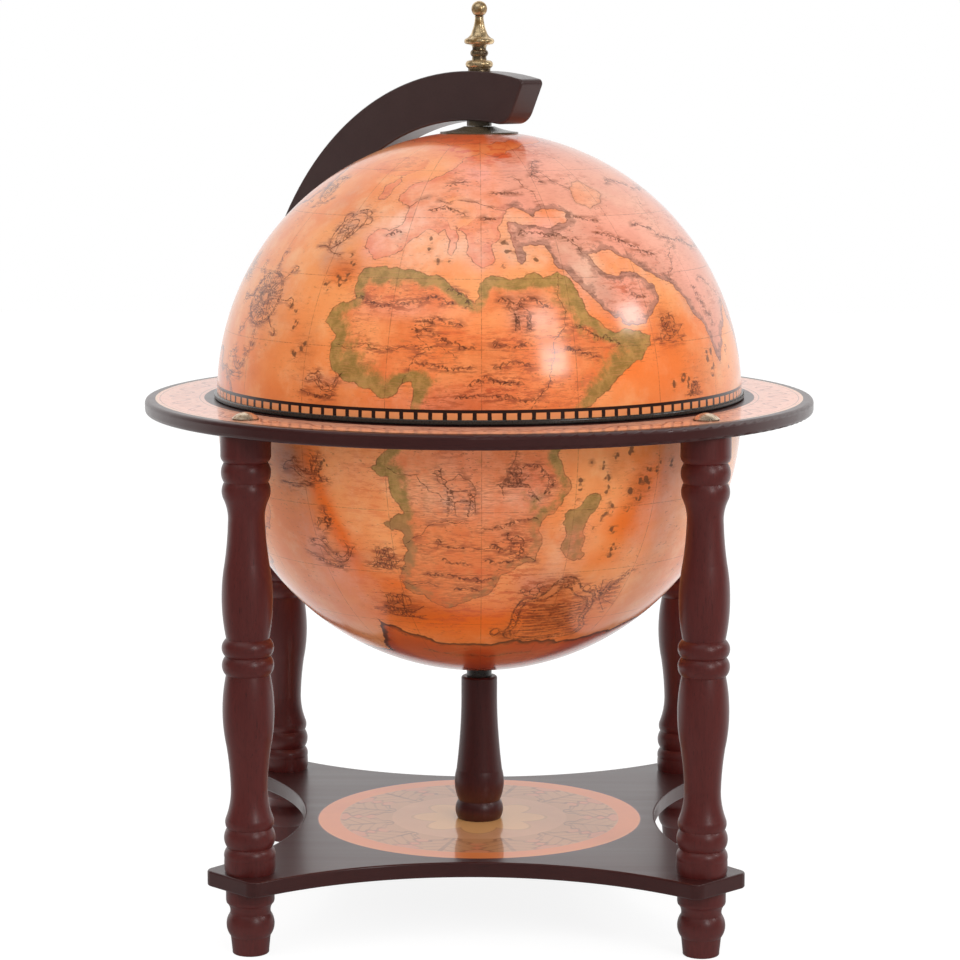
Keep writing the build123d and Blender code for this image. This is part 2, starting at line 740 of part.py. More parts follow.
with BuildPart() as arm:
    with BuildSketch(arm_plane):
        with BuildLine():
            rise = arm_foot - arm_centre_height
            foot_outer = (chord(arm_radius, rise), arm_foot)
            foot_inner = (chord(arm_inner_radius, rise), arm_foot)
            nose_outer = (-arm_radius * sin(nose), arm_centre_height + arm_radius * cos(nose))
            nose_inner = (
                -arm_inner_radius * sin(nose_foot),
                arm_centre_height + arm_inner_radius * cos(nose_foot),
            )
            ThreePointArc(foot_outer, (0, arm_top), nose_outer)
            Line(nose_outer, nose_inner)
            ThreePointArc(nose_inner, (0, arm_underside), foot_inner)
            Line(foot_inner, foot_outer)
        make_face()
        fillet(vertices().sort_by_distance(nose_inner)[0], arm_nose_round)
        fillet(vertices().sort_by_distance(nose_outer)[0], arm_nose_top_round)
    extrude(amount=arm_thickness / 2, both=True)
    sides = arm.faces().filter_by(Axis((0, 0, 0), arm_plane.z_dir))
    fillet(sides.edges().filter_by(lambda edge: edge.center().Z > arm_foot + arm_edge_round), arm_edge_round)
    with Locations((0, 0, finial_seat)):
        Cylinder(
            finial_spot_radius,
            arm_depth,
            align=(Align.CENTER, Align.CENTER, Align.MIN),
            mode=Mode.SUBTRACT,
        )
    with Locations((0, 0, arm_underside)):
        Cylinder(
            collar_radius + thread_fit,
            arm_depth,
            align=(Align.CENTER, Align.CENTER, Align.MAX),
            mode=Mode.SUBTRACT,
        )
    with Locations((0, 0, arm_top)):
        Cylinder(rod_radius + rod_clearance, 2 * (arm_depth + cut_overrun), mode=Mode.SUBTRACT)
    with Locations(*hinge_arm_screw_places):
        add(wood_screw(hinge_arm_screw_length, thread_fit), mode=Mode.SUBTRACT)
save(arm, "arm")

with BuildPart() as finial:
    revolve(turned(finial_start_radius, finial_spans, finial_seat), axis=Axis.Z)
    with Locations((0, 0, finial_seat + finial_ball_height)):
        Sphere(finial_ball_radius)
    with BuildSketch(Plane.XY.offset(finial_seat)):
        Circle(rod_radius + thread_fit)
    extrude(amount=rod_grip, mode=Mode.SUBTRACT)
save(finial, "finial")

with BuildPart() as pivot_rod:
    with BuildSketch(Plane.XY.offset(rod_bottom)):
        Circle(rod_radius)
    extrude(amount=finial_seat + rod_grip - rod_bottom)
save(pivot_rod, "pivot_rod")

with BuildPart() as pivot_collar:
    with BuildSketch(Plane.XY.offset(collar_bottom)):
        Circle(collar_radius)
        Circle(rod_radius + thread_fit, mode=Mode.SUBTRACT)
    extrude(amount=arm_underside - collar_bottom)
save(pivot_collar, "pivot_collar")

with BuildPart() as pivot_washer:
    with BuildSketch(Plane.XY.offset(nut_top)):
        Circle(washer_radius)
        Circle(rod_radius + thread_fit, mode=Mode.SUBTRACT)
    extrude(amount=washer_thickness)
save(pivot_washer, "pivot_washer")

with BuildPart() as pivot_nut:
    with BuildSketch(Plane.XY.offset(nut_top)):
        RegularPolygon(nut_flats / 2, 6, major_radius=False)
        Circle(rod_radius + thread_fit, mode=Mode.SUBTRACT)
    extrude(amount=-nut_height)
save(pivot_nut, "pivot_nut")

# ---------------------------------------------------------------- lid hinge

leaf_shoulder = hinge_reach - knuckle_radius - knuckle_clearance
middle_half = hinge_middle_knuckle / 2
outer_low = middle_half + knuckle_clearance
outer_high = leaf_width / 2


def hinge_leaf(level, knuckles):
    """Leaf of the butt hinge with its underside at this level, and knuckles between (low, high)."""
    with BuildPart() as leaf:
        with BuildSketch(arm_plane.offset(-leaf_width / 2)):
            with Locations((hinge_reach - leaf_reach, level)):
                Rectangle(leaf_shoulder - hinge_reach + leaf_reach, leaf_thickness, align=Align.MIN)
        extrude(amount=leaf_width)
        for low, high in knuckles:
            with BuildSketch(arm_plane.offset(low)):
                with Locations((leaf_shoulder, level)):
                    Rectangle(hinge_reach - leaf_shoulder, leaf_thickness, align=Align.MIN)
                with Locations((hinge_reach, hinge_height)):
                    Circle(knuckle_radius)
            extrude(amount=high - low)
        with BuildSketch(arm_plane):
            with Locations((hinge_reach, hinge_height)):
                Circle(hinge_pin_radius + hinge_pin_fit)
        extrude(amount=leaf_width, both=True, mode=Mode.SUBTRACT)
    return leaf.part


with BuildPart() as hinge_ring_leaf:
    add(hinge_leaf(ring_top, [(-outer_high, -outer_low), (outer_low, outer_high)]))
    with Locations(*hinge_ring_screw_places):
        add(wood_screw(hinge_ring_screw_length, thread_fit), mode=Mode.SUBTRACT)
save(hinge_ring_leaf, "hinge_ring_leaf")

with BuildPart() as hinge_arm_leaf:
    add(hinge_leaf(arm_foot - leaf_thickness, [(-middle_half, middle_half)]))
    with Locations(*hinge_arm_screw_places):
        add(wood_screw(hinge_arm_screw_length, thread_fit), mode=Mode.SUBTRACT)
save(hinge_arm_leaf, "hinge_arm_leaf")

with BuildPart() as hinge_pin:
    with BuildSketch(arm_plane.offset(-leaf_width / 2)):
        with Locations((hinge_reach, hinge_height)):
            Circle(hinge_pin_radius)
    extrude(amount=leaf_width)
    for face_offset, outward in ((leaf_width / 2, 1), (-leaf_width / 2, -1)):
        with BuildSketch(arm_plane.offset(face_offset)):
            with Locations((hinge_reach, hinge_height)):
                Circle(hinge_pin_head_radius)
        extrude(amount=outward * hinge_pin_head_height)
save(hinge_pin, "hinge_pin")

with BuildPart() as hinge_ring_screws:
    with Locations(*hinge_ring_screw_places):
        add(wood_screw(hinge_ring_screw_length))
save(hinge_ring_screws, "hinge_ring_screws")

with BuildPart() as hinge_arm_screws:
    with Locations(*hinge_arm_screw_places):
        add(wood_screw(hinge_arm_screw_length))
save(hinge_arm_screws, "hinge_arm_screws")
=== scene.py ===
import math

import bpy
import numpy as np
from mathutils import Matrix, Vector
from mathutils.kdtree import KDTree


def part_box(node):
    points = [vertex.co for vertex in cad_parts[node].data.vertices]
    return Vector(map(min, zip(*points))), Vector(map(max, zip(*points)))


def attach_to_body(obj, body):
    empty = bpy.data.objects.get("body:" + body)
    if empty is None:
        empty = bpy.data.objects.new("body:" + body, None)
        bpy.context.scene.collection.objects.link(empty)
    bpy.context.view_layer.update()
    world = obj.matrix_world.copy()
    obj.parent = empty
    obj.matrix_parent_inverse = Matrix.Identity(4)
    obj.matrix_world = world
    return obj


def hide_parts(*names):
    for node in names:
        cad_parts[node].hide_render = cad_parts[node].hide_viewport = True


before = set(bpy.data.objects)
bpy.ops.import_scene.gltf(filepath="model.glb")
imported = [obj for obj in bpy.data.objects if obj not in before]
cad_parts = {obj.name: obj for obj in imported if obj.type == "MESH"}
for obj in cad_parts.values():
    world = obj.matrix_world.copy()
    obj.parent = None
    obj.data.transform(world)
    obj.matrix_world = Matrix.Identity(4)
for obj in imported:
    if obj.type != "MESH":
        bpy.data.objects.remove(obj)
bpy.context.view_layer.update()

# The room: a white sweep of floor and backdrop, soft boxes on the right that show
# as bright windows in the lacquer, a wide soft light above, and the camera in
# front of the ring's edge, a little over its height.


class Value:
    """A socket of a finish. Sums, products and comparisons on it add Math nodes."""

    def __init__(self, finish, socket):
        self.finish = finish
        self.socket = socket

    def math(self, operation, *others):
        return self.finish.node("Math", {"operation": operation}, dict(enumerate((self, *others))))

    def after(self, operation, first):
        return self.finish.node("Math", {"operation": operation}, {0: first, 1: self})

    def __add__(self, other):
        return self.math("ADD", other)

    def __radd__(self, other):
        return self.after("ADD", other)

    def __sub__(self, other):
        return self.math("SUBTRACT", other)

    def __rsub__(self, other):
        return self.after("SUBTRACT", other)

    def __mul__(self, other):
        return self.math("MULTIPLY", other)

    def __rmul__(self, other):
        return self.after("MULTIPLY", other)

    def __truediv__(self, other):
        return self.math("DIVIDE", other)

    def __rtruediv__(self, other):
        return self.after("DIVIDE", other)

    def __abs__(self):
        return self.math("ABSOLUTE")


class Finish:
    """The nodes of one finish, and what each of its colours and maps is mixed from."""

    def __init__(self, tree):
        self.tree = tree

    def node(self, kind, settings=None, inputs=None, output=0):
        node = self.tree.nodes.new("ShaderNode" + kind)
        for name, setting in (settings or {}).items():
            setattr(node, name, setting)
        self.feed(node, inputs or {})
        return Value(self, node.outputs[output])

    def feed(self, node, inputs):
        for key, value in inputs.items():
            if isinstance(value, Value):
                self.tree.links.new(value.socket, node.inputs[key])
            else:
                node.inputs[key].default_value = value

    def over(self, amount, under, top):
        """The colour top laid over the colour under, by amount."""
        return self.node("Mix", {"data_type": "RGBA"}, {0: amount, 6: under, 7: top}, 2)

    def fade(self, value, start, end):
        """0 where the value is at start, 1 where it is at end, and smooth between."""
        limits = {"Value": value, "From Min": start, "From Max": end}
        return self.node("MapRange", {"interpolation_type": "SMOOTHSTEP"}, limits)

    def mottle(self, place, scale, detail=2.0, roughness=0.5):
        """An even, cloudy unevenness from 0 to 1, finer as the scale rises."""
        settings = {"Vector": place, "Scale": scale, "Detail": detail, "Roughness": roughness}
        return self.node("TexNoise", None, settings)

    def stretched(self, place, x, y, z):
        """The place scaled along each axis, so that a pattern on it runs long one way."""
        return self.vector_math("MULTIPLY", place, (x, y, z))

    def parts(self, place):
        """The three numbers of a place."""
        return [self.node("SeparateXYZ", None, {0: place}, axis) for axis in "XYZ"]

    def vector_math(self, operation, first, second):
        """A difference or product of two places, axis by axis."""
        return self.node("VectorMath", {"operation": operation}, {0: first, 1: second})

    def ray(self, kind):
        """1 for rays of that kind, and 0 for the rest."""
        return self.node("LightPath", output=f"Is {kind} Ray")


def tone(red, green, blue):
    """A colour given as it looks, from 0 to 255, in the linear numbers that a shader takes."""
    steps = [step / 255 for step in (red, green, blue)]
    return (*(((step + 0.055) / 1.055) ** 2.4 for step in steps), 1.0)


scene = bpy.context.scene
scene.view_settings.view_transform = "Standard"

white = (1, 1, 1, 1)
room_light = 0.82
front_dimness = 0.02
backdrop_from, backdrop_to = 0.15, 0.7
world = bpy.data.worlds.new("room")
world.use_nodes = True
scene.world = world
air = Finish(world.node_tree)
seen = air.ray("Camera") + air.ray("Transmission")
mirrored = air.ray("Glossy")
towards_back = air.parts(air.node("TexCoord", output="Generated"))[1]
backdrop = front_dimness + (1 - front_dimness) * air.fade(towards_back, backdrop_from, backdrop_to)
brightness = seen + (1 - seen) * (mirrored * backdrop + (1 - mirrored) * room_light)
air.feed(world.node_tree.nodes["Background"], {"Color": white, "Strength": brightness})

floor_width = 9
floor_glow = 0.87
front_loss = 0.93
front_edge, back_edge = -0.5, 0.6
bpy.ops.object.select_all(action="DESELECT")
bpy.ops.mesh.primitive_plane_add(size=floor_width, location=(0, 0, 0))
floor = bpy.context.object
floor.name = "floor"
floor_paint = bpy.data.materials.new("floor_paint")
floor_paint.use_nodes = True
sweep = Finish(floor_paint.node_tree)
floor_mirrored = sweep.ray("Glossy")
floor_seen = sweep.ray("Camera") + floor_mirrored
floor_spot = sweep.parts(sweep.node("TexCoord", output="Object"))[1]
behind = sweep.fade(floor_spot, front_edge, back_edge)
glow_share = 1 - floor_mirrored * (1 - behind) * front_loss
glow = floor_seen * glow_share * floor_glow
own_white = sweep.node("Emission", None, {"Color": white, "Strength": glow})
matt = sweep.over(floor_seen, tone(248, 248, 248), tone(132, 132, 132))
matt = sweep.over(glow_share, tone(20, 20, 20), matt)
shaded = sweep.node("BsdfDiffuse", None, {"Color": matt})
painted_floor = sweep.node("AddShader", None, {0: own_white, 1: shaded})
sweep.feed(floor_paint.node_tree.nodes["Material Output"], {"Surface": painted_floor})
floor.data.materials.append(floor_paint)

globe_middle = Vector((0, 0, 0.32))


def soft_box(name, direction, distance, width, height, power):
    """A soft light that far from the globe in that direction, facing it."""
    lamp = bpy.data.lights.new(name, "AREA")
    lamp.shape = "RECTANGLE"
    lamp.size = width
    lamp.size_y = height
    lamp.energy = power
    holder = bpy.data.objects.new(name, lamp)
    scene.collection.objects.link(holder)
    holder.location = globe_middle + Vector(direction).normalized() * distance
    holder.rotation_euler = Vector(direction).to_track_quat("Z", "Y").to_euler()


window_distance = 2.2
top_distance = 2.4
soft_box("front_box", (0.525, -0.80, 0.325), window_distance, 0.40, 0.46, 6.0)
soft_box("front_haze", (0.50, -0.78, 0.60), window_distance, 0.40, 0.50, 3.2)
soft_box("side_box", (0.868, -0.20, 0.47), window_distance, 0.50, 0.32, 5.0)
soft_box("top_box", (-0.35, -0.50, 1.0), top_distance, 2.40, 1.80, 10.0)

camera = bpy.data.cameras.new("camera")
camera.lens = 115.18
camera.sensor_width = 36
camera.shift_x = 0.00077
camera.shift_y = -0.0009
viewpoint = bpy.data.objects.new("camera", camera)
scene.collection.objects.link(viewpoint)
viewpoint.location = (0.030966, -1.928411, 0.53535)
viewpoint.rotation_euler = (math.radians(82.15), 0, math.radians(0.92))
scene.camera = viewpoint

# The four feet: short turned blocks of rubberwood, stained and lacquered dark
# mahogany, each with a steel stud glued in its top that screws up into a leg.


def material_of(name):
    """A new material and its finish, ready to be mixed."""
    material = bpy.data.materials.new(name)
    material.use_nodes = True
    finish = Finish(material.node_tree)
    return material, finish, finish.node("TexCoord", output="Object")


def surface(finish, inputs):
    """Sends colours and maps to the sockets of the finish's surface shader."""
    finish.feed(finish.tree.nodes["Principled BSDF"], inputs)


def dress(material, *pieces):
    """Gives a finish to solids that already have their right shape."""
    for piece in pieces:
        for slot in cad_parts[piece].material_slots:
            slot.material = material


def stained_wood(name, along, dark, light, haze=0.2):
    """Close-grained wood under stain and satin lacquer, with its grain along one axis."""
    material, finish, place = material_of(name)
    lengths = [0.05 if axis == along else 1.0 for axis in "xyz"]
    run = finish.stretched(place, *lengths)
    fibre = finish.mottle(run, 950, 3.0, 0.6)
    figure = finish.mottle(run, 95, 2.0, 0.55)
    pores = finish.fade(finish.mottle(run, 2300, 1.0), 0.62, 0.72)
    cloud = finish.mottle(place, 14, 2.0)
    stain = finish.over(fibre * 0.45 + figure * 0.35 + cloud * 0.2, dark, light)
    sunk = finish.over(pores * 0.45, stain, tone(28, 10, 9))
    relief = {"Strength": 0.12, "Distance": 0.0002, "Height": fibre * 0.4 - pores}
    surface(finish, {
        "Base Color": sunk,
        "Roughness": 0.36 + figure * 0.14,
        "Specular IOR Level": 0.3,
        "Normal": finish.node("Bump", None, relief),
        "Coat Weight": 0.5,
        "Coat Roughness": haze,
    })
    return material


def bright_steel(name):
    """Zinc-plated steel, faintly brushed."""
    material, finish, place = material_of(name)
    brush = finish.mottle(finish.stretched(place, 1, 1, 0.15), 1600, 2.0)
    surface(finish, {
        "Base Color": finish.over(brush, tone(168, 168, 172), tone(205, 205, 208)),
        "Metallic": 1.0,
        "Roughness": 0.24 + brush * 0.14,
    })
    return material


mahogany_upright = stained_wood("mahogany_upright", "z", tone(58, 15, 13), tone(106, 36, 31), 0.32)
steel = bright_steel("zinc_plated_steel")
dress(mahogany_upright, "foot_front_left", "foot_front_right", "foot_back_left", "foot_back_right")
dress(steel, "foot_studs")

# The lower shelf: a board with four curved sides, cut from panel, its edge
# rounded, stained and lacquered; the feet's studs pass up through its corners.

mahogany_board = stained_wood("mahogany_board", "x", tone(48, 17, 16), tone(72, 29, 26))
dress(mahogany_board, "shelf")

# The shelf's medallion: a disc of printed paper let into the board and lacquered
# over, with a plain rim, a band of leaves and darts, and a flower in the middle.

edge_line = 103.0
band_outside = 89.0
band_inside = 56.0
leaf_count = 12
petal_count = 8
petal_foot = 30.0
petal_length = 13.0


def around(finish, place):
    """The distance from the upright axis in millimetres, and the turn about it from 0 to 1."""
    x, y, _ = finish.parts(place)
    distance = (x * x + y * y).math("SQRT") * 1000
    turn = y.math("ARCTAN2", x) / math.tau + 0.5
    return distance, turn


class Coats:
    """A colour built up coat by coat on a ground."""

    def __init__(self, finish, ground):
        self.finish = finish
        self.colour = ground

    def lay(self, amount, top):
        self.colour = self.finish.over(amount, self.colour, top)


medallion_paper, finish, place = material_of("medallion_paper")
reach, turn = around(finish, place)
off_rib = abs((turn * leaf_count).math("FRACT") - 0.5)
height = (reach - band_inside) / (band_outside - band_inside)
in_band = finish.fade(abs(height - 0.5), 0.52, 0.48)
lobes = 0.05 * (height * 26).math("SINE")
leaf_side = height * (1.25 - height) * 1.12 - off_rib + lobes
leaf = finish.fade(leaf_side, -0.02, 0.02) * in_band
outline = finish.fade(abs(leaf_side), 0.06, 0.02)
veins = finish.fade(abs((height * 4.1 + off_rib * -3).math("FRACT") - 0.5), 0.16, 0.05) * leaf
rib = finish.fade(off_rib, 0.05, 0.02)
age = finish.mottle(place, 60, 4.0, 0.65)
inking = 0.08 + 0.4 * finish.fade(age, 0.3, 0.6)
petal_reach = petal_foot + petal_length * abs((turn * petal_count * math.tau / 2).math("COSINE"))
flower = finish.fade(reach, petal_reach + 3, petal_reach - 3)
flower_line = finish.fade(abs(reach - petal_reach), 1.6, 0.4)
rim = finish.fade(reach, band_outside, band_outside + 0.8)
heart = (1 - leaf) * finish.fade(height, 0.2, 0.5) * in_band
coats = Coats(finish, finish.over(age, tone(206, 142, 96), tone(222, 168, 122)))
coats.lay(rim, finish.over(age, tone(226, 124, 60), tone(240, 144, 80)))
coats.lay(heart * 0.42, tone(218, 106, 72))
coats.lay(in_band * (1 - heart) * 0.55, tone(192, 134, 84))
coats.lay(in_band * outline.math("MAXIMUM", rib) * inking, tone(112, 62, 34))
coats.lay(veins * inking * 0.7, tone(126, 76, 44))
coats.lay(flower * 0.7, tone(240, 184, 116))
coats.lay(flower_line * 0.3, tone(150, 100, 62))
coats.lay(finish.fade(reach, edge_line, edge_line + 0.6), tone(110, 52, 34))
surface(finish, {
    "Base Color": coats.colour,
    "Roughness": 0.32 + age * 0.08,
    "Specular IOR Level": 0.1,
    "Coat Weight": 0.72,
    "Coat Roughness": 0.05,
})
dress(medallion_paper, "shelf_print")

# The four legs: turned from rubberwood with beads and long vases, stained and
# lacquered; a bolt comes down through the ring into a brass insert in each top,
# and three of the four bolts show a cast brass cap.


def aged_brass(name, dark, light, dark_bands=()):
    """Cast brass under a brown patina, with dark bands given by height and half width: patina in
    hollows, and painted shade.
    """
    material, finish, place = material_of(name)
    patina = finish.mottle(place, 260, 4.0, 0.6)
    rubbed = finish.fade(patina, 0.34, 0.6)
    scuffs = finish.mottle(place, 2400, 2.0)
    relief = {"Strength": 0.08, "Distance": 0.0002, "Height": patina + scuffs * 0.3}
    coats = Coats(finish, finish.over(rubbed, dark, light))
    height = finish.parts(place)[2]
    # Dark bands: patina in the hollows, and painted shade under bulges and where a part sits on
    # another.
    for band_height, half_width in dark_bands:
        sunk = finish.fade(abs(height - band_height) / half_width, 1.2, 0.7)
        coats.lay(sunk * (0.9 - rubbed * 0.3), tone(58, 40, 34))
    surface(finish, {
        "Base Color": coats.colour,
        "Metallic": 0.55 + rubbed * 0.3,
        "Roughness": 0.36 - rubbed * 0.12 + scuffs * 0.06,
        "Normal": finish.node("Bump", None, relief),
    })
    return material


cap_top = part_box("leg_bolt_caps")[1][2]
# Painted shadow: a dark band round each cap near its foot, where it sits on the ring.
cap_foot_shade = (cap_top - 0.0042, 0.0007)
cap_brass = aged_brass("cap_brass", tone(160, 124, 90), tone(236, 214, 186), [cap_foot_shade])
insert_brass = aged_brass("insert_brass", tone(176, 140, 74), tone(214, 178, 104))
dress(mahogany_upright, "leg_front_left", "leg_front_right", "leg_back_left", "leg_back_right")
dress(insert_brass, "leg_inserts")
dress(steel, "leg_bolts")
dress(cap_brass, "leg_bolt_caps")

# The table ring: a flat ring of panel with a rounded edge, stained and lacquered,
# bolted down on the four legs; it carries both halves of the globe.

dress(mahogany_board, "ring_board")

# The ring's print: a band of paper let into its top under thick lacquer, with
# fine lines at both edges and a running scroll of leaves between them.

vine_reach = 188.2
vine_swing = 6.2
leaf_swing = 5.0
leaf_size = 3.6
line_offset = 12.4
pale_edge = 202.0
scrolls = 30

ring_paper, finish, place = material_of("ring_paper")
reach, turn = around(finish, place)
wave_turn = turn * scrolls * math.tau
vine = finish.fade(abs(reach - vine_reach - vine_swing * wave_turn.math("SINE")), 1.3, 0.6)
cell = (turn * scrolls * 2).math("FRACT") - 0.5
across = cell * (math.tau * vine_reach / (scrolls * 2))
along = reach - vine_reach + leaf_swing * (wave_turn + math.pi / 2).math("SINE")
leaf = ((across * across) * 0.8 + along * along).math("SQRT")
leaves = finish.fade(abs(leaf - leaf_size), 1.0, 0.4)
flecks = finish.fade(finish.mottle(place, 330, 3.0, 0.6), 0.52, 0.66)
age = finish.mottle(place, 38, 4.0, 0.6)
thin_lines = finish.fade(abs(abs(reach - vine_reach) - line_offset), 0.45, 0.2)
coats = Coats(finish, finish.over(age, tone(250, 162, 128), tone(254, 194, 160)))
coats.lay(flecks * 0.5, tone(190, 84, 54))
coats.lay(vine.math("MAXIMUM", leaves) * 0.6, tone(158, 66, 44))
coats.lay(thin_lines * 0.6, tone(120, 62, 40))
coats.lay(finish.fade(reach, pale_edge, pale_edge + 0.5) * 0.8, tone(240, 190, 146))
surface(finish, {
    "Base Color": coats.colour,
    "Roughness": 0.3 + age * 0.08,
    "Specular IOR Level": 0.1,
    "Coat Weight": 0.7,
    "Coat Roughness": 0.04,
})
dress(ring_paper, "ring_print")

# The lower half of the globe: a moulded bowl, papered in gores with a printed map
# and lacquered; it hangs under the ring on a wooden hoop and stands on the column.
# The map is given in degrees east and north, and serves both halves.

globe_radius = 165.0
shell = 3.5
chance = np.random.default_rng(7)

# Coasts are given with the land on their right hand.
africa = [
    (-28, 32), (-24, 32.5), (-18, 32), (-15, 32), (-12, 31), (-9, 31), (-7, 30), (-5, 28), (-2, 26),
    (0, 24.5), (1, 26), (1, 29), (2, 30), (6, 30.5), (9, 30), (14, 31.5), (16, 30), (20, 31.5),
    (22, 30.5), (23, 29), (24, 26), (25, 23), (27, 21), (29, 19), (32, 18), (35, 18.5), (38, 18),
    (41, 17), (40.5, 15), (38, 13), (35, 11.5), (32, 9.5), (29.5, 7.5), (27, 5.5), (23.5, 3),
    (19.5, 0.5), (17, -3), (18, -5), (18.5, -7), (20, -8.5), (20, -10.5), (18.7, -12),
    (18.5, -13.5), (17, -15.5), (14.5, -17), (13.6, -19), (14.8, -21), (14.6, -23), (14, -26.5),
    (11, -27), (9, -28.7), (6, -30), (5, -33), (3.7, -35), (1, -36), (-1.4, -37), (-4, -38),
    (-7, -39.5), (-9, -38.7), (-12, -37.4), (-13, -35.7), (-16, -35.4), (-18, -32), (-17.5, -29.5),
    (-16.5, -26), (-15, -24), (-16, -22.5), (-15.5, -20.4), (-18.5, -19.8), (-20, -17.8),
    (-17.5, -16.3), (-15, -15.5), (-16, -13.8), (-17.4, -12), (-18, -10), (-18, -7.7), (-20, -7.5),
    (-22, -6), (-20, -3.7), (-17, -1.5), (-14, 1), (-13, 4), (-12.5, 7), (-13, 8.5), (-15, 8),
    (-16, 6), (-18, 5), (-21, 6), (-24, 7), (-28, 8), (-31, 10), (-32, 13), (-32, 15), (-31, 17),
    (-32, 18), (-35, 20), (-34, 22), (-32, 24), (-28, 25), (-29, 27), (-29, 30),
]
madagascar = [
    (19.4, -15.6), (21.3, -14.7), (23.3, -13.1), (25.2, -11.6), (27, -11.7), (27.5, -13),
    (26.7, -14.7), (25, -16.6), (24, -20), (24.8, -23), (25.7, -25.3), (25, -26.7), (23.4, -27),
    (21, -26), (19.5, -24), (19.8, -22), (20.2, -19.8), (19, -17.6),
]
eurasia = [
    (-26, 34), (-30, 37), (-30, 40), (-27, 42), (-22, 42.5), (-21, 45), (-21, 48), (-26, 50),
    (-25, 53), (-20, 56), (-15, 58), (-10, 61), (-5, 66), (2, 68), (10, 66), (16, 68), (22, 70),
    (30, 72), (45, 73), (60, 75), (80, 76), (100, 77), (120, 74), (140, 72), (160, 70), (172, 66),
    (168, 60), (155, 60), (150, 55), (146, 58), (140, 55), (136, 50), (130, 48), (124, 44),
    (118, 40), (116, 36), (112, 38), (108, 39), (106, 36), (108, 32), (106, 28), (100, 23),
    (94, 21), (92, 18), (94, 13), (90, 9), (86, 12), (86, 8), (89, 2), (86, 1), (84, 6), (82, 12),
    (80, 16), (78, 22), (74, 19), (70, 16), (68, 13), (65, 9.5), (63, 12), (62, 15), (60, 19),
    (57, 21), (56, 24), (53, 27.5), (49, 29), (46, 30.5), (41, 34), (37, 36), (32, 35.5),
    (28, 35.5), (31, 32), (33, 30.5), (36, 30), (39, 31), (44, 29), (46, 26), (46, 24), (42, 21),
    (40, 19.3), (37, 19.3), (34, 19.5), (32, 21), (31, 22), (29, 24), (27, 26), (24, 29.2),
    (22.6, 30.8), (20, 32.5), (19.3, 35), (18, 38), (14, 38), (12, 37.5), (12, 34), (11, 33),
    (10, 36), (9.5, 39), (9, 41), (9, 44), (13, 43), (17, 43), (23, 43), (27, 44), (28, 46),
    (25, 47.3), (20, 47.5), (17, 45), (12, 48), (9, 47.3), (8, 45.3), (6, 42.5), (6.5, 40), (4, 38),
    (4.5, 36), (4, 33.3), (1.5, 32.5), (-1, 35), (-2, 38), (-2.5, 40.5), (-6, 43), (-4.5, 40),
    (-5, 38), (-6, 35.3), (-7, 36), (-6.5, 39), (-8.5, 42), (-10, 40.5), (-13, 42), (-15.5, 40),
    (-19, 36.5), (-22, 35),
]
america = [
    (-178, 62), (-170, 68), (-150, 70), (-130, 70), (-110, 68), (-95, 70), (-98, 62), (-105, 58),
    (-95, 52), (-93, 58), (-82, 62), (-72, 58), (-66, 52), (-72, 48), (-80, 46), (-84, 43),
    (-90, 38), (-94, 32), (-95, 26), (-98, 30), (-106, 30), (-111, 27), (-110, 22), (-104, 19),
    (-102, 22), (-101, 17), (-97, 15), (-96, 10), (-92, 9), (-88, 12), (-80, 11), (-72, 8),
    (-65, 3), (-62, -1), (-52, -4), (-49, -8), (-53, -15), (-55, -22), (-62, -26), (-64, -32),
    (-70, -36), (-76, -40), (-79, -46), (-82, -52), (-87, -53), (-89, -46), (-87, -38), (-85, -28),
    (-84, -18), (-92, -12), (-95, -5), (-93, 1), (-91, 6), (-93, 7), (-98, 9), (-102, 13),
    (-108, 15), (-115, 18), (-120, 24), (-126, 32), (-134, 36), (-138, 42), (-140, 50), (-150, 57),
    (-165, 58), (-175, 60),
]
south_land = [
    (-38, -55.4), (-33, -50.6), (-30.5, -46.6), (-31, -44.4), (-29, -46.5), (-26, -46.8),
    (-22, -49.4), (-17, -50.4), (-11, -53), (-5, -53), (1, -53), (8, -52.4), (13, -51.3), (20, -52),
    (30, -54), (45, -52), (60, -50), (75, -46), (88, -38), (98, -33), (108, -30), (114, -36),
    (122, -44), (140, -50), (160, -46), (175, -42), (190, -40), (205, -44), (220, -50), (240, -54),
    (262, -56), (275, -55), (285, -56), (300, -60), (312, -60),
]
britain = [(-34, 50), (-35, 54), (-31, 58), (-29, 56), (-30, 52), (-31, 50)]
caspian = [(33, 49), (34, 53.5), (37, 55.5), (41, 56), (43, 54), (46, 51), (43, 48.8), (37, 47)]
arctic = [
    (-60, 74), (-20, 72), (10, 73), (40, 77), (80, 80), (120, 79), (160, 76), (200, 75), (250, 76),
]

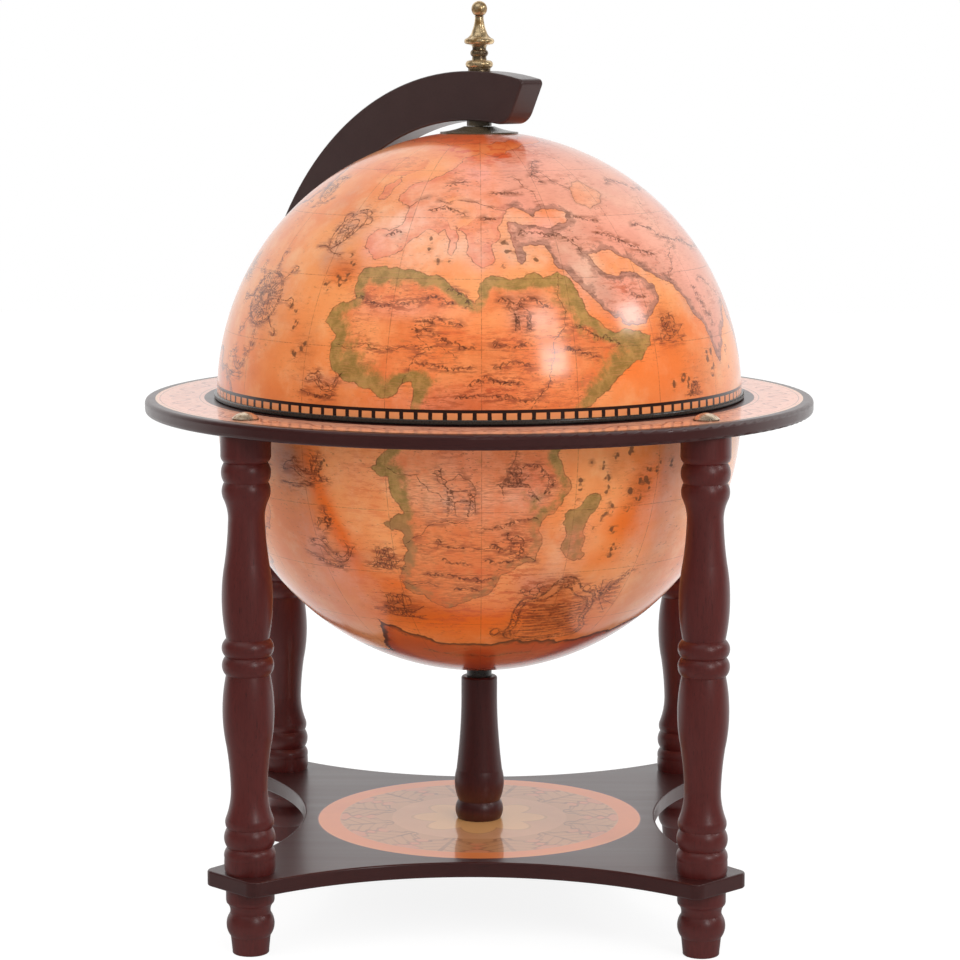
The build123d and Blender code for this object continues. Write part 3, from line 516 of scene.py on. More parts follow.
# Islands: longitude, latitude, and the spread of each little group in millimetres.
isles = [
    (-37, 28, 2), (-36, 27, 2), (-34, 29, 2), (-32, 30, 2), (-33, 35, 1.5), (-32, 33, 1.5),
    (-47, 23, 3), (-44, 22, 2), (-43, 19, 2), (-40, 15, 2), (-42, 13, 2), (-12, 37, 0.5),
    (-12, 39.5, 0.5), (-6.5, 34.2, 0.5), (-9, 33.8, 1), (7, 33, 1.5), (8, 36, 2), (7, 39, 2),
    (15, 34.6, 0.5), (70, 8, 0.5), (48, 7, 4), (50, 5, 3), (61, 8, 3), (59, 12, 3), (69, 12, 2),
    (27.2, -6.5, 2), (28.8, -8.5, 2), (28.4, -10.8, 1), (29.8, -14, 3), (29.8, -16, 2),
    (22.6, -9.5, 2), (21.8, -12.4, 1), (28.2, -17.2, 1), (26.3, -19.1, 1), (31.5, -19.9, 2),
    (32.6, -24, 2), (31.9, -25.8, 2), (34.9, -15.6, 2), (36.1, -13.4, 3), (38.1, -13.2, 3),
    (39, -10.9, 3), (37.2, -10.5, 2), (38.9, -7.7, 2), (41.8, -7.3, 2), (45.4, -6.3, 2),
    (24.7, -4.8, 1), (29.6, -4.4, 3), (33.7, -3.7, 2), (85, -3, 6), (96, -8, 8), (104, 2, 8),
    (112, -4, 8), (110, 12, 7), (124, 38, 6), (120, 33, 5), (-84, 20, 8), (-92, 21, 7),
    (-140, 20, 6), (-150, -15, 9), (170, -8, 9), (150, 6, 8), (-33, -6, 2), (-68, 48, 3),
]

# Mountain chains, drawn as rows of little hills, and rivers.
mountains = [
    [(-28, 26), (-22, 24), (-17, 24.5), (-10, 26), (-4, 25)], [(-13, 19.5), (-8, 18), (1, 15.5)],
    [(-12, 21), (-3, 20.5)], [(4, 16.5), (9, 15.5), (12, 17)], [(4, 11.5), (8, 12.5), (12, 11.5)],
    [(-1, 8), (4, 8.7), (10, 8)], [(-3, 5.2), (6, 6), (13, 5)], [(22, 19.5), (28, 17), (33, 14.8)],
    [(20, 15), (27, 13)], [(6, 25.5), (12, 26), (16, 24)], [(-6, 28), (-1, 23)],
    [(-8, -21.5), (-3, -23)], [(-7, -26), (-1, -26.8)], [(-11, -30), (-3, -31), (4, -31)],
    [(2, -18.6), (7, -17.5), (13, -16)], [(4, -22.4), (12, -24.6)], [(-4, -33.5), (1, -34.4)],
    [(11, -5), (16, -8), (15, -11.5)], [(10, -9), (13.5, -13)], [(3, -26), (10, -26)],
    [(-14, 47), (-9, 48), (-4, 46.5)], [(-24, 40.5), (-20, 41.3)], [(2, 45), (6, 44.5)],
    [(12, 40.5), (20, 40.3), (27, 39)], [(30, 45), (37, 44)], [(35, 40.5), (44, 37), (52, 34)],
    [(38, 26.5), (42, 25)], [(24, 56), (28, 64)], [(50, 42), (62, 38), (74, 36), (88, 36)],
    [(62, 26), (66, 18)], [(55, 55), (75, 52), (95, 50)], [(96, 32), (100, 40)],
    [(-136, 46), (-126, 40), (-118, 28)], [(-100, 42), (-92, 48)],
    [(-88, -6), (-82, -14), (-80, -30), (-84, -44)], [(-70, -8), (-62, -14)],
    [(-20, -57), (0, -60), (22, -58)], [(100, -42), (130, -54)], [(-10, 54.5), (-3, 56)],
    [(6, 52), (14, 53)], [(-12, 12), (-6, 11), (0, 12)],
]
rivers = [
    [(20, 31), (19, 27), (20, 22), (17, 17), (16, 11), (12, 4), (8, -4), (6, -12)],
    [(-31, 15.5), (-24, 16), (-17, 14.5), (-10, 15.5), (-4, 13.5)], [(-15, 8), (-13, 13), (-9, 15)],
    [(-19, -5), (-12, -7), (-6, -13), (-1, -12)], [(-10, 16), (-13, 18.5), (-9, 20)],
    [(9, 47), (3, 48.5), (-5, 50), (-12, 50)], [(20, 47.5), (19, 53), (13, 58)],
    [(34, 53), (29, 56), (25, 60)], [(28, 35.5), (25, 39), (22, 41)],
    [(53, 28), (57, 34), (63, 36)], [(78, 22), (72, 26), (66, 28)], [(108, 32), (98, 34), (88, 34)],
    [(-49, -8), (-62, -5), (-78, -7), (-86, -4)], [(-62, -26), (-70, -22), (-68, -12)],
    [(-98, 30), (-102, 40), (-108, 46)], [(14, -26.5), (6, -23), (-1, -23)],
    [(-18, -32), (-9, -33)], [(-16, -22.5), (-10, -18), (-2, -17)], [(-21, 48), (-16, 51)],
]

# Washes of colour over the print, and among the lightening ones a painted highlight: longitude,
# latitude, half width and half height in degrees, and strength.
washes = {
    "rose": [
        (-27, 38, 6, 5, 0.9), (-19, 44, 6, 6, 0.8), (-22, 55, 7, 4, 0.55), (-11, 46, 8, 5, 0.6),
        (-8, 53, 9, 4, 0.4), (-5, 60, 9, 5, 0.7), (2, 36, 4, 4, 1), (2, 43, 5, 4, 0.6),
        (4, 55, 7, 8, 0.9), (-6, 40, 3, 4, 0.6), (11, 50, 9, 3, 0.6), (20, 41, 8, 3, 0.6),
        (38, 28, 5, 4, 0.7), (46, 41, 9, 6, 0.45), (62, 28, 5, 6, 0.6), (-17, 23, 10, 2, 0.5),
        (14, 22, 6, 3, 0.5), (-26, -7, 6, 4, 0.25), (12, -8, 5, 4, 0.4), (-38, -24, 5, 5, 0.5),
        (14, -33, 4, 3, 0.6), (23, -18, 3, 4, 0.2), (-100, 50, 14, 9, 0.6), (-75, -10, 12, 10, 0.5),
        (100, 45, 16, 10, 0.5), (150, 62, 14, 6, 0.5), (34, 42, 14, 9, 0.5), (30, 60, 14, 7, 0.5),
        (54, 34, 8, 8, 0.4), (17, 44, 7, 6, 0.5), (-38, -34, 10, 9, 0.6), (-8, 4, 12, 3, 0.35),
        (-2, -4, 9, 5, 0.4), (46, -16, 8, 14, 0.6), (4, -14, 8, 5, 0.35),
    ],
    # The first patch here, over Spain, is a painted highlight standing for a soft reflection of a
    # light; the rest lighten the print.
    "pale_and_sheen": [
        (-20, 43, 8, 5, 0.9), (-38, 41, 4, 6, 0.7), (-10, 37, 10, 4, 0.8), (6, 38, 10, 7, 0.3),
        (-14, 50, 10, 6, 0.5), (4, 50, 7, 6, 0.4), (14, 36, 6, 4, 0.5), (-27, 47, 6, 6, 0.5),
        (-50, 30, 8, 14, 0.3), (12, 44.5, 5, 1.5, 0.6), (27, 46, 3, 1.5, 0.5), (28, 33, 4, 4, 0.25),
        (42, 30, 6, 4, 0.35), (40, 50, 12, 8, 0.4), (60, 42, 12, 12, 0.4), (-14, -8, 6, 8, 0.2),
        (20, -28, 6, 4, 0.35), (55, -20, 10, 16, 0.5), (26, 37, 6, 9, 0.6), (26, 28, 4, 5, 0.5),
        (-17, 35.5, 5, 4, 0.6), (-5, -12.5, 7, 4, 0.6), (10.5, -12.3, 4, 3, 0.7),
    ],
    "mauve": [
        (24, 33, 4, 4, 0.75), (28, 29, 3.5, 4, 0.75), (31, 25, 3, 4, 0.6), (11, 41, 3, 4, 0.6),
        (15, 39, 3, 2, 0.5), (10, 22, 2.5, 4, 0.75), (14, 26, 3, 2, 0.5), (8, 26, 2, 1.5, 0.5),
        (-38, 41, 5, 7, 0.6), (-40, 34, 3, 3, 0.55), (28, 41, 6, 3, 0.5), (50, 31, 5, 3, 0.5),
        (57, 24, 3, 4, 0.6), (64, 14, 2.5, 5, 0.8), (-57, 23, 7, 8, 0.5), (-48, 50, 5, 6, 0.35),
        (-44, -6, 6, 5, 0.9), (-39, -12, 4, 6, 0.5), (-40, -20, 6, 4, 0.4), (-36, -27, 9, 2, 0.6),
        (-29, 8, 10, 1.2, 0.5), (14, -20, 3, 5, 0.25), (22, -32, 5, 3, 0.4), (22.5, -22, 4, 4, 0.7),
        (34, -38, 5, 5, 0.4), (45, 52, 8, 4, 0.35), (7, -20, 4, 2, 0.3), (6, 36, 11, 3, 0.6),
        (90, 20, 8, 8, 0.5), (118, 40, 8, 6, 0.5), (-88, -30, 5, 20, 0.5), (-130, 40, 8, 10, 0.4),
    ],
    "rust": [
        (-22, 25, 8, 2.2, 0.6), (-8, 26, 5, 1.8, 0.5), (-3, 18, 10, 1.8, 0.6), (7, 16, 4, 2, 0.7),
        (8, 11.5, 5, 2, 0.7), (4, 7, 9, 2, 0.7), (27, 17, 7, 2.5, 0.6), (14, 74, 34, 7, 1.2),
        (-14, 69, 14, 3, 0.6), (7, 66.5, 16, 4.5, 1), (37, 27, 3, 3, 0.7), (45, 17, 4, 4, 0.7),
        (-5, -24, 8, 4, 0.35), (8, -22, 8, 4, 0.4), (13, -8, 5, 4, 0.4), (20, -43, 9, 8, 0.8),
        (-20, -40.5, 9, 2.5, 0.7), (-5, -62, 60, 8, 0.3), (30, -57, 26, 5, 0.3), (8, -8, 5, 3, 0.3),
        (4, -30, 12, 2, 0.4), (-75, 45, 10, 7, 0.4), (-70, -20, 10, 12, 0.4), (80, 40, 16, 8, 0.4),
        (120, -45, 30, 10, 0.5), (-160, -50, 40, 8, 0.5), (-22, -26, 5, 2.5, 0.35),
        (-39, -7, 4, 3, 0.5), (-1, 4.5, 11, 3, 0.5), (-23, -12, 8, 12, 0.55), (-24, -34, 7, 4, 0.6),
        (-10, -43, 16, 6, 0.6), (9, -34, 10, 6, 0.7), (2, -41.5, 12, 3, 0.5),
    ],
    "glow": [
        (24, 26, 3, 4, 0.8), (30, 21, 4, 2, 0.6), (33, 11, 8, 5, 0.8), (48, 12, 9, 9, 0.75),
        (-34, 31, 5, 3, 0.9), (-42, 20, 6, 9, 0.4), (-37, -5, 2.4, 4, 0.8),
        (-35.5, -11, 2.2, 4.5, 1.1), (-33.5, -16.5, 2.2, 4, 1.1), (-31.5, -21.5, 2.2, 4, 1.2),
        (-29.5, -26.5, 2.4, 4, 1.1), (-20, -33, 5, 2.4, 0.9), (34, -19, 6, 5, 1),
        (38, -10, 5, 6, 0.8), (30, -27, 6, 3, 0.6), (-6, -44, 30, 7, 1.2), (0, 16, 16, 6, 0.35),
        (5, 33, 5, 2, 0.4), (6, 2, 20, 5, 0.4), (-16, 36, 6, 2, 0.2), (40, -48, 10, 5, 0.4),
    ],
    "umber": [
        (22, -43.5, 9, 7, 1.1), (47, 18, 4, 4, 0.9), (8, -7.5, 4, 3, 0.3), (-21, -40, 5, 3.5, 0.8),
        (-21, -26.5, 5, 2.5, 0.7), (-41, -6.5, 4, 4, 0.8), (-36, -26.5, 5, 3, 0.5),
        (-34, 6, 5, 2.5, 0.6), (-39, 38, 4, 6, 0.2), (-33, 32, 5, 3, 0.7), (9, -50, 3, 3.5, 1.2),
        (-39, 14, 3, 5, 0.6), (-47, 18, 6, 6, 0.2), (56, 8, 7, 5, 0.4), (-58, 24, 5, 5, 0.3),
        (-31, 1.5, 4, 2.5, 0.5), (-60, 8, 6, 2, 0.3), (3, 15, 5, 2, 0.4), (24, 38, 3, 2, 0.5),
        (21, 36, 2, 3, 0.4), (32, 17, 4, 3, 0.4), (26, 14, 5, 3, 0.35), (2, 11, 8, 2, 0.35),
        (37, -10.5, 3, 5, 0.8), (30, -6, 3, 3, 0.4), (14, -21, 4, 5, 0.3), (-2, 4.5, 9, 3, 0.5),
        (17, -33, 8, 6, 0.9), (-12, -40, 12, 4, 0.4),
    ],
    "moss": [
        (-28, 12, 5, 5, 1), (-22, 7.5, 8, 2.5, 1), (-11, 8, 3, 3, 1), (-23, 30, 7, 2, 1),
        (-31, 20, 3, 3, 0.7), (-10, 29.5, 4, 2, 0.8), (-3, 26, 2, 2, 0.6), (8, 29, 8, 1.8, 0.9),
        (21, 27, 3, 5, 1), (24, 21, 2.5, 3, 0.8), (30, 17.5, 5, 1.2, 0.8), (37, 15.5, 5, 4, 1.4),
        (30, 10, 3.5, 4, 1), (26, 6, 3, 3, 0.8), (-19, -6, 4, 3, 0.8), (-16, -12, 2.5, 5, 0.8),
        (-17, -18, 3, 2.5, 0.5), (-15.5, -24, 3, 6, 0.5), (24.8, -14, 4, 3.2, 1),
        (21.5, -18, 2.5, 3, 0.6), (23, -24, 3, 3, 0.2), (17, -5, 3, 3, 0.5), (12, -14, 3, 4, 0.4),
        (-43, -8, 3, 3, 0.4), (-24, -25, 5, 1.5, 0.4),
    ],
}


def on_globe(places):
    """Points in millimetres from the globe's middle, for longitudes and latitudes in degrees."""
    east, north = np.radians(np.array(places, float)).T
    level = np.cos(north)
    return globe_radius * np.stack([level * np.sin(east), -level * np.cos(east), np.sin(north)], 1)


def pressed(points):
    """The points moved straight in or out onto the globe."""
    return globe_radius * points / np.linalg.norm(points, axis=1, keepdims=True)


def directions(up):
    """East and north on the globe, where up points straight out of it."""
    eastward = np.cross((0, 0, 1), up)
    eastward /= np.linalg.norm(eastward)
    return eastward, np.cross(up, eastward)


finest_run = 0.8


def drawn(points, wander, closed):
    """Halves the runs of a line until they are short, each new point a little off to one side."""
    while True:
        starts = points if closed else points[:-1]
        runs = (np.roll(points, -1, 0) if closed else points[1:]) - starts
        lengths = np.linalg.norm(runs, axis=1, keepdims=True)
        if lengths.max() < finest_run:
            return points
        middles = starts + runs / 2
        sideways = np.cross(middles, runs)
        sideways *= lengths / np.linalg.norm(sideways, axis=1, keepdims=True)
        middles += sideways * chance.normal(0, wander, (len(middles), 1))
        middles *= globe_radius / np.linalg.norm(middles, axis=1, keepdims=True)
        halved = np.empty((len(starts) * 2, 3))
        halved[0::2] = starts
        halved[1::2] = middles
        points = halved if closed else np.vstack([halved, points[-1:]])


def nearest(lines, closed, spots):
    """Each spot's offset from the lines, its nearest run, and its distance, over 0 on the right."""
    starts = np.vstack([line if closed else line[:-1] for line in lines])
    ends = np.vstack([np.roll(line, -1, 0) if closed else line[1:] for line in lines])
    tree = KDTree(len(starts))
    for index, middle in enumerate((starts + ends) / 2):
        tree.insert(middle, index)
    tree.balance()
    found = np.array([tree.find(spot)[1] for spot in spots])
    offsets, gaps, rights = [], [], []
    for step in (-1, 0, 1):
        run = (found + step) % len(starts)
        along = ends[run] - starts[run]
        share = ((spots - starts[run]) * along).sum(1) / np.maximum((along * along).sum(1), 1e-9)
        foot = starts[run] + np.clip(share, 0, 1)[:, None] * along
        right = np.cross(along, foot)
        rights.append(right / np.maximum(np.linalg.norm(right, axis=1, keepdims=True), 1e-9))
        offsets.append(spots - foot)
        gaps.append(np.linalg.norm(spots - foot, axis=1))
    gaps = np.array(gaps)
    least = gaps.min(0)
    offset = np.array(offsets)[gaps.argmin(0), np.arange(len(spots))]
    facing = (np.array(rights) * (gaps <= least + 1e-4)[:, :, None]).sum(0)
    signed = np.where((offset * facing).sum(1) > 0, least, -least)
    return offset, found, signed


isle_wander = 0.08


def isle_coasts(groups):
    """The coasts of little groups of islands, each with its own uneven outline."""
    coasts = []
    for east, north, spread in groups:
        middle = on_globe([(east, north)])[0]
        for _ in range(3 if spread > 0.6 else 1):
            place = middle + chance.normal(0, 0.7 * spread, 3)
            size = chance.uniform(0.8, 1.6) * (0.8 + 0.12 * spread)
            eastward, northward = directions(place / np.linalg.norm(place))
            turns = -np.linspace(0, math.tau, 9)[:-1, None]
            reach = size * chance.uniform(0.65, 1.35, (8, 1))
            ring = place + reach * (np.cos(turns) * eastward + 1.3 * np.sin(turns) * northward)
            coasts.append(drawn(pressed(ring), isle_wander, True))
    return coasts


# Ink lines, each with its width in millimetres.
ink_lines = []


def ink(points, width):
    ink_lines.append((points, width))


def sketch(east, north, width, *lines, size=1.0, lean=0.0):
    """Draws lines given in millimetres east and north of a place, with their corners rounded."""
    up = on_globe([(east, north)])[0] / globe_radius
    eastward, northward = directions(up)
    turn = math.radians(lean)
    turning = np.array([[math.cos(turn), math.sin(turn)], [-math.sin(turn), math.cos(turn)]])
    for line in lines:
        flat = np.array(line, float) * size @ turning
        for _ in range(2):
            cut = np.empty((2 * len(flat) - 2, 2))
            cut[0::2] = flat[:-1] * 0.75 + flat[1:] * 0.25
            cut[1::2] = flat[:-1] * 0.25 + flat[1:] * 0.75
            flat = np.vstack([flat[:1], cut, flat[-1:]])
        points = up * globe_radius + flat[:, :1] * eastward + flat[:, 1:] * northward
        ink(drawn(pressed(points), 0.0, False), width)


hill_pitch = 3.6
hill_scatter = 0.5
hill_ink = 0.42
chain_wander = 0.08
river_ink = 0.3
river_wander = 0.1
for chain in mountains:
    line = drawn(on_globe(chain), chain_wander, False)
    lengths = np.linalg.norm(np.diff(line, axis=0), axis=1).cumsum()
    for mark in np.arange(0, lengths[-1], hill_pitch):
        top = line[np.searchsorted(lengths, mark)] + chance.normal(0, hill_scatter, 3)
        east = math.degrees(math.atan2(top[0], -top[1]))
        north = math.degrees(math.asin(top[2] / np.linalg.norm(top)))
        wide, tall = chance.uniform(1.5, 2.3), chance.uniform(1.3, 2.2)
        hill = [(-1, -0.5), (-0.4, 0.4), (0, 0.6), (0.5, 0.2), (1, -0.5)]
        shade = [(0.15, 0.35), (0.45, -0.5)]
        sketch(east, north, hill_ink, *(np.array(line) * (wide, tall) for line in (hill, shade)))
for river in rivers:
    ink(drawn(on_globe(river), river_wander, False), river_ink)

ship = [
    [(-8, -1), (-6.5, -4.5), (5, -5), (8.5, -1.5), (5.5, -2), (-5, -2), (-8, -1)],
    [(-3, -2), (-3.3, 8)], [(2.2, -2), (2.4, 9)], [(8, -2), (12, 1.5)],
    [(-9, -3), (-4, -3.2), (6, -3.4)],
    [(-6, 6.5), (-1.2, 6.8), (-0.4, 4), (-1, 0.5), (-6.2, 0.3), (-5.2, 3.5), (-6, 6.5)],
    [(-0.2, 7.6), (5, 7.8), (6.2, 4.4), (5.4, 0.6), (0, 0.4), (1, 4), (-0.2, 7.6)],
    [(-14, -6), (-9, -5.2), (-4, -6.4), (1, -5.6), (6, -6.6), (12, -5.4)],
    [(-10, -7.6), (-5, -7), (0, -8), (6, -7.2), (10, -8)], [(-5, -4.8), (-2, -3.6)],
    [(1, -4.8), (4, -3.6)],
]
sea_beast = [
    [(-13, 1), (-10, 5), (-5, 5.5), (-1, 2), (3, -2), (8, -3), (12, 1), (13, 6), (11, 8)],
    [(-13, 1), (-9, 0.5), (-5, 1.5), (-2, -2), (3, -6), (9, -6), (13.5, -1), (15, 5), (17, 7)],
    [(-11, 3.6), (-10, 4), (-9.6, 3.2)], [(-4, 5.5), (-2, 8), (0, 5)],
    [(4, -2.4), (5.5, 0.4), (7, -2.8)], [(-16, -6), (-10, -7.4), (-3, -8.4), (4, -9), (12, -8)],
    [(-9, -9.5), (0, -10.6), (9, -10)],
]
camel = [
    [(-7, 1), (-5, 3.4), (-2, 3.8), (0, 6.8), (1.6, 7), (3, 4.2), (6, 3.8), (8, 1.4), (7.6, -1.6),
     (4, -2), (-3, -2.4), (-7, 1)],
    [(-6.4, 1.6), (-9, 1.6), (-10.6, 4), (-10, 7)],
    [(-5, 3.2), (-7.8, 4.2), (-8.6, 6), (-8.2, 8.2)],
    [(-8.2, 8.2), (-9.6, 9), (-13, 7.6), (-12.4, 6.6), (-10, 7)], [(-8.8, 8.4), (-8.2, 9.8)],
    [(-5.6, -1.4), (-5, -7), (-5.8, -16)], [(-4.2, -2), (-3.8, -8), (-5, -16)],
    [(-2.8, -2.4), (-1.8, -8), (-1.4, -15)], [(5, -2), (5.6, -8), (4.6, -16)],
    [(6.2, -1.8), (6.6, -8), (5.4, -16)], [(7.6, -0.8), (8.8, -8), (8.6, -15)],
    [(7.8, 1), (9.4, -1), (9.2, -4.4)],
]
figure_ink = 0.42
figures = [
    (ship, [
        (47, 18, 1.0, 0), (8, -7.5, 0.75, 0), (-21, -39.5, 1.3, -6), (-21, -26.3, 1.0, 0),
        (52.5, 5, 0.55, 0), (-78, 30, 1.1, 0), (112, 18, 1.1, 0), (-150, -30, 1.2, 0),
        (160, 20, 1.2, 0), (75, -25, 1.1, 0), (-115, -15, 1.1, 0),
    ]),
    (sea_beast, [
        (-40, -7.5, 1.05, 10), (-36, -25.5, 1.1, -12), (-34, 7.5, 0.9, 0), (-34.5, -7.5, 0.5, -65),
        (-35.5, -18.5, 0.5, 50), (140, -25, 1.2, 0), (-65, 10, 1.0, 0),
    ]),
]
for lines, places in figures:
    for east, north, size, lean in places:
        sketch(east, north, figure_ink, *lines, size=size, lean=lean)
camels = [(-3.5, -9.5, 0.34, 1.15), (10, 22.5, 0.42, 0.65), (9, -21.5, 0.4, 0.55)]
for east, north, width, size in camels:
    sketch(east, north, width, *camel, size=size)


def circle(radius, steps, x=0.0, y=0.0):
    """Points round a circle, the last one on the first."""
    turns = [math.tau * step / steps for step in range(steps + 1)]
    return [(x + radius * math.cos(turn), y + radius * math.sin(turn)) for turn in turns]


# The compass rose: spokes of four lengths in three hoops, with a curl at each point.
spoke_ends = [circle(reach, 32) for reach in (24, 13, 16, 13)]
spokes = [[circle(3, 32)[step], spoke_ends[step % 4][step]] for step in range(32)]
hoops = [circle(reach, 24) for reach in (3, 16, 17.6)]
curl = np.array([(25, 0), (28, 3), (32, 1), (31, -2), (28.6, -1)])
curls = [curl @ np.array([(x, y), (-y, x)]) for x, y in circle(1, 8)[:-1]]
for east, north in ((-58, 24), (140, -8), (-110, -30)):
    sketch(east, north, figure_ink, *spokes, *hoops, *curls)

shield = [
    [(-2, -16), (-8, -8), (-9, 2), (-6, 10), (-2, 15), (4, 15), (7, 9), (6, 0), (3, -9), (-2, -16)],
    [(-1, -11), (-5, -5), (-6, 2), (-3, 8), (2, 10), (4, 4), (2, -5), (-1, -11)],
    [(-9, 4), (-12, 8), (-9, 12), (-6, 10)], [(7, 8), (11, 10), (10, 14), (5, 15)],
    [(-5, 15), (0, 19), (6, 17)], [(-12, -17), (-6, -14), (2, -17), (10, -15)], [(-4, 0), (1, 5)],
    [(-4, -3), (2, 3)], [(-3, -6), (2, 0)],
]
sketch(-38, 41, 0.45, *shield, lean=-20)
sketch(-62, 52, 0.45, *shield, size=0.8, lean=30)

# The cartouche: a scrolled frame round a ruled panel, with fruit and leaves on top.
rule_pitch = 2.1
rules = [
    [(-14.5 + 0.6 * math.sin(row), 8 - drop), (0, 8.4 - drop), (15 + math.sin(2 * row), 8 - drop)]
    for row, drop in ((row, rule_pitch * row) for row in range(12))
]
frame_lines = [
    [(-19, 12), (-21.5, 2), (-19.5, -8), (-22, -16), (-19, -21), (-8, -22.5), (4, -20.5), (18, -22)],
    [(-16.5, 11), (-18, 2), (-16.5, -8), (-19, -15), (-16, -18.5), (-8, -19.5), (4, -18), (17, -19)],
    [(-19, 12), (-12, 13), (-7, 17), (-4, 25), (3, 28), (9, 24), (11, 17), (19, 13), (23, 10)],
    [(-16.5, 11), (-10, 11), (-4, 14), (0, 20), (5, 20), (8, 14), (16, 10.5)],
    [(19, 13), (21.5, 4), (18, -6), (23, -15), (18, -22)],
    [(16, 10.5), (18.5, 4), (15.5, -6), (20, -14), (17, -19)], [(-3, 23), (2, 25), (7, 22)],
    [(-2, 20), (2, 22), (6, 19)], [(-26, -20), (-23, -15), (-26, -11), (-29, -16), (-26, -20)],
]
fruits = [
    (-14, 18, 2.6), (-9.5, 19, 2.2), (-17.5, 16.5, 1.8), (-12, 22, 1.7), (14, 18, 2.2), (18, 17.5, 1.8),
    (-20, 18, 1.5),
]
garland = [circle(reach, 8, x, y) for x, y, reach in fruits]
leaf_turns = [1.1, 0.75, 0.62, 0.35, 0.05, -0.3, -0.7, 1.6, 2.0, -1.1]
leaf_reaches = [11, 22, 24, 13, 12, 13, 14, 12, 10, 15]
frond_foot = np.array((23, 10))
fronds = []
for turn, reach in zip(leaf_turns, leaf_reaches):
    tip = reach * np.array((math.cos(turn), math.sin(turn)))
    fronds.append((frond_foot, frond_foot + tip * (0.5, 0.55), frond_foot + tip))
cartouche_spot = (22, -42.5)
sketch(*cartouche_spot, 0.78, *frame_lines, size=1.22)
sketch(*cartouche_spot, 0.36, *rules, *garland, *fronds, size=1.22)
for east, north in ((-125, 5), (175, 35)):
    sketch(east, north, 0.5, *frame_lines, *rules, *garland, size=0.9)

coast_wander = 0.11
lake_wander = 0.1
coasts = {
    "green_coast": [drawn(on_globe(coast), coast_wander, True) for coast in (africa, madagascar)],
    "other_coast": [
        drawn(on_globe(coast), coast_wander, True)
        for coast in (eurasia, america, south_land, britain, arctic[::-1])
    ],
    "lake": [drawn(on_globe(caspian), lake_wander, True)],
    "island": isle_coasts(isles),
}
fullest_wash = 1.2


def attach(mesh, name, kind, numbers):
    """Keeps one number or offset for each corner point of a mesh, for its finish to read."""
    field = "vector" if kind == "FLOAT_VECTOR" else "value"
    mesh.attributes.new(name, kind, "POINT").data.foreach_set(field, numbers.ravel())


def lay_map(half, middle):
    """Lays the map on one half: how far each point is from the coasts and ink lines, and its washes."""
    mesh = half.data
    places = np.empty(len(mesh.vertices) * 3)
    mesh.vertices.foreach_get("co", places)
    spots = places.reshape(-1, 3) * 1000 - (0, 0, middle)
    spots *= globe_radius / np.linalg.norm(spots, axis=1, keepdims=True)
    for name, shores in coasts.items():
        attach(mesh, name, "FLOAT", nearest(shores, True, spots)[2])
    lines = [line for line, _ in ink_lines]
    widths = np.concatenate([np.full(len(line) - 1, width) for line, width in ink_lines])
    offset, run, gap = nearest(lines, False, spots)
    attach(mesh, "ink_offset", "FLOAT_VECTOR", offset)
    attach(mesh, "ink_gap", "FLOAT", np.abs(gap))
    attach(mesh, "ink_width", "FLOAT", widths[run])
    east = np.degrees(np.arctan2(spots[:, 0], -spots[:, 1]))
    north = np.degrees(np.arcsin(spots[:, 2] / globe_radius))
    for name, patches in washes.items():
        amount = np.zeros(len(spots))
        for patch_east, patch_north, wide, tall, strength in patches:
            away = (east - patch_east + 180) % 360 - 180
            amount += strength * np.exp(-((away / wide) ** 2) - ((north - patch_north) / tall) ** 2)
        attach(mesh, name, "FLOAT", np.minimum(amount, fullest_wash))


outer_fineness = 8
inner_columns, inner_rows = 128, 64
outer_hole_margin = 0.6
pole_zone = 0.05
smooth_angle = 40


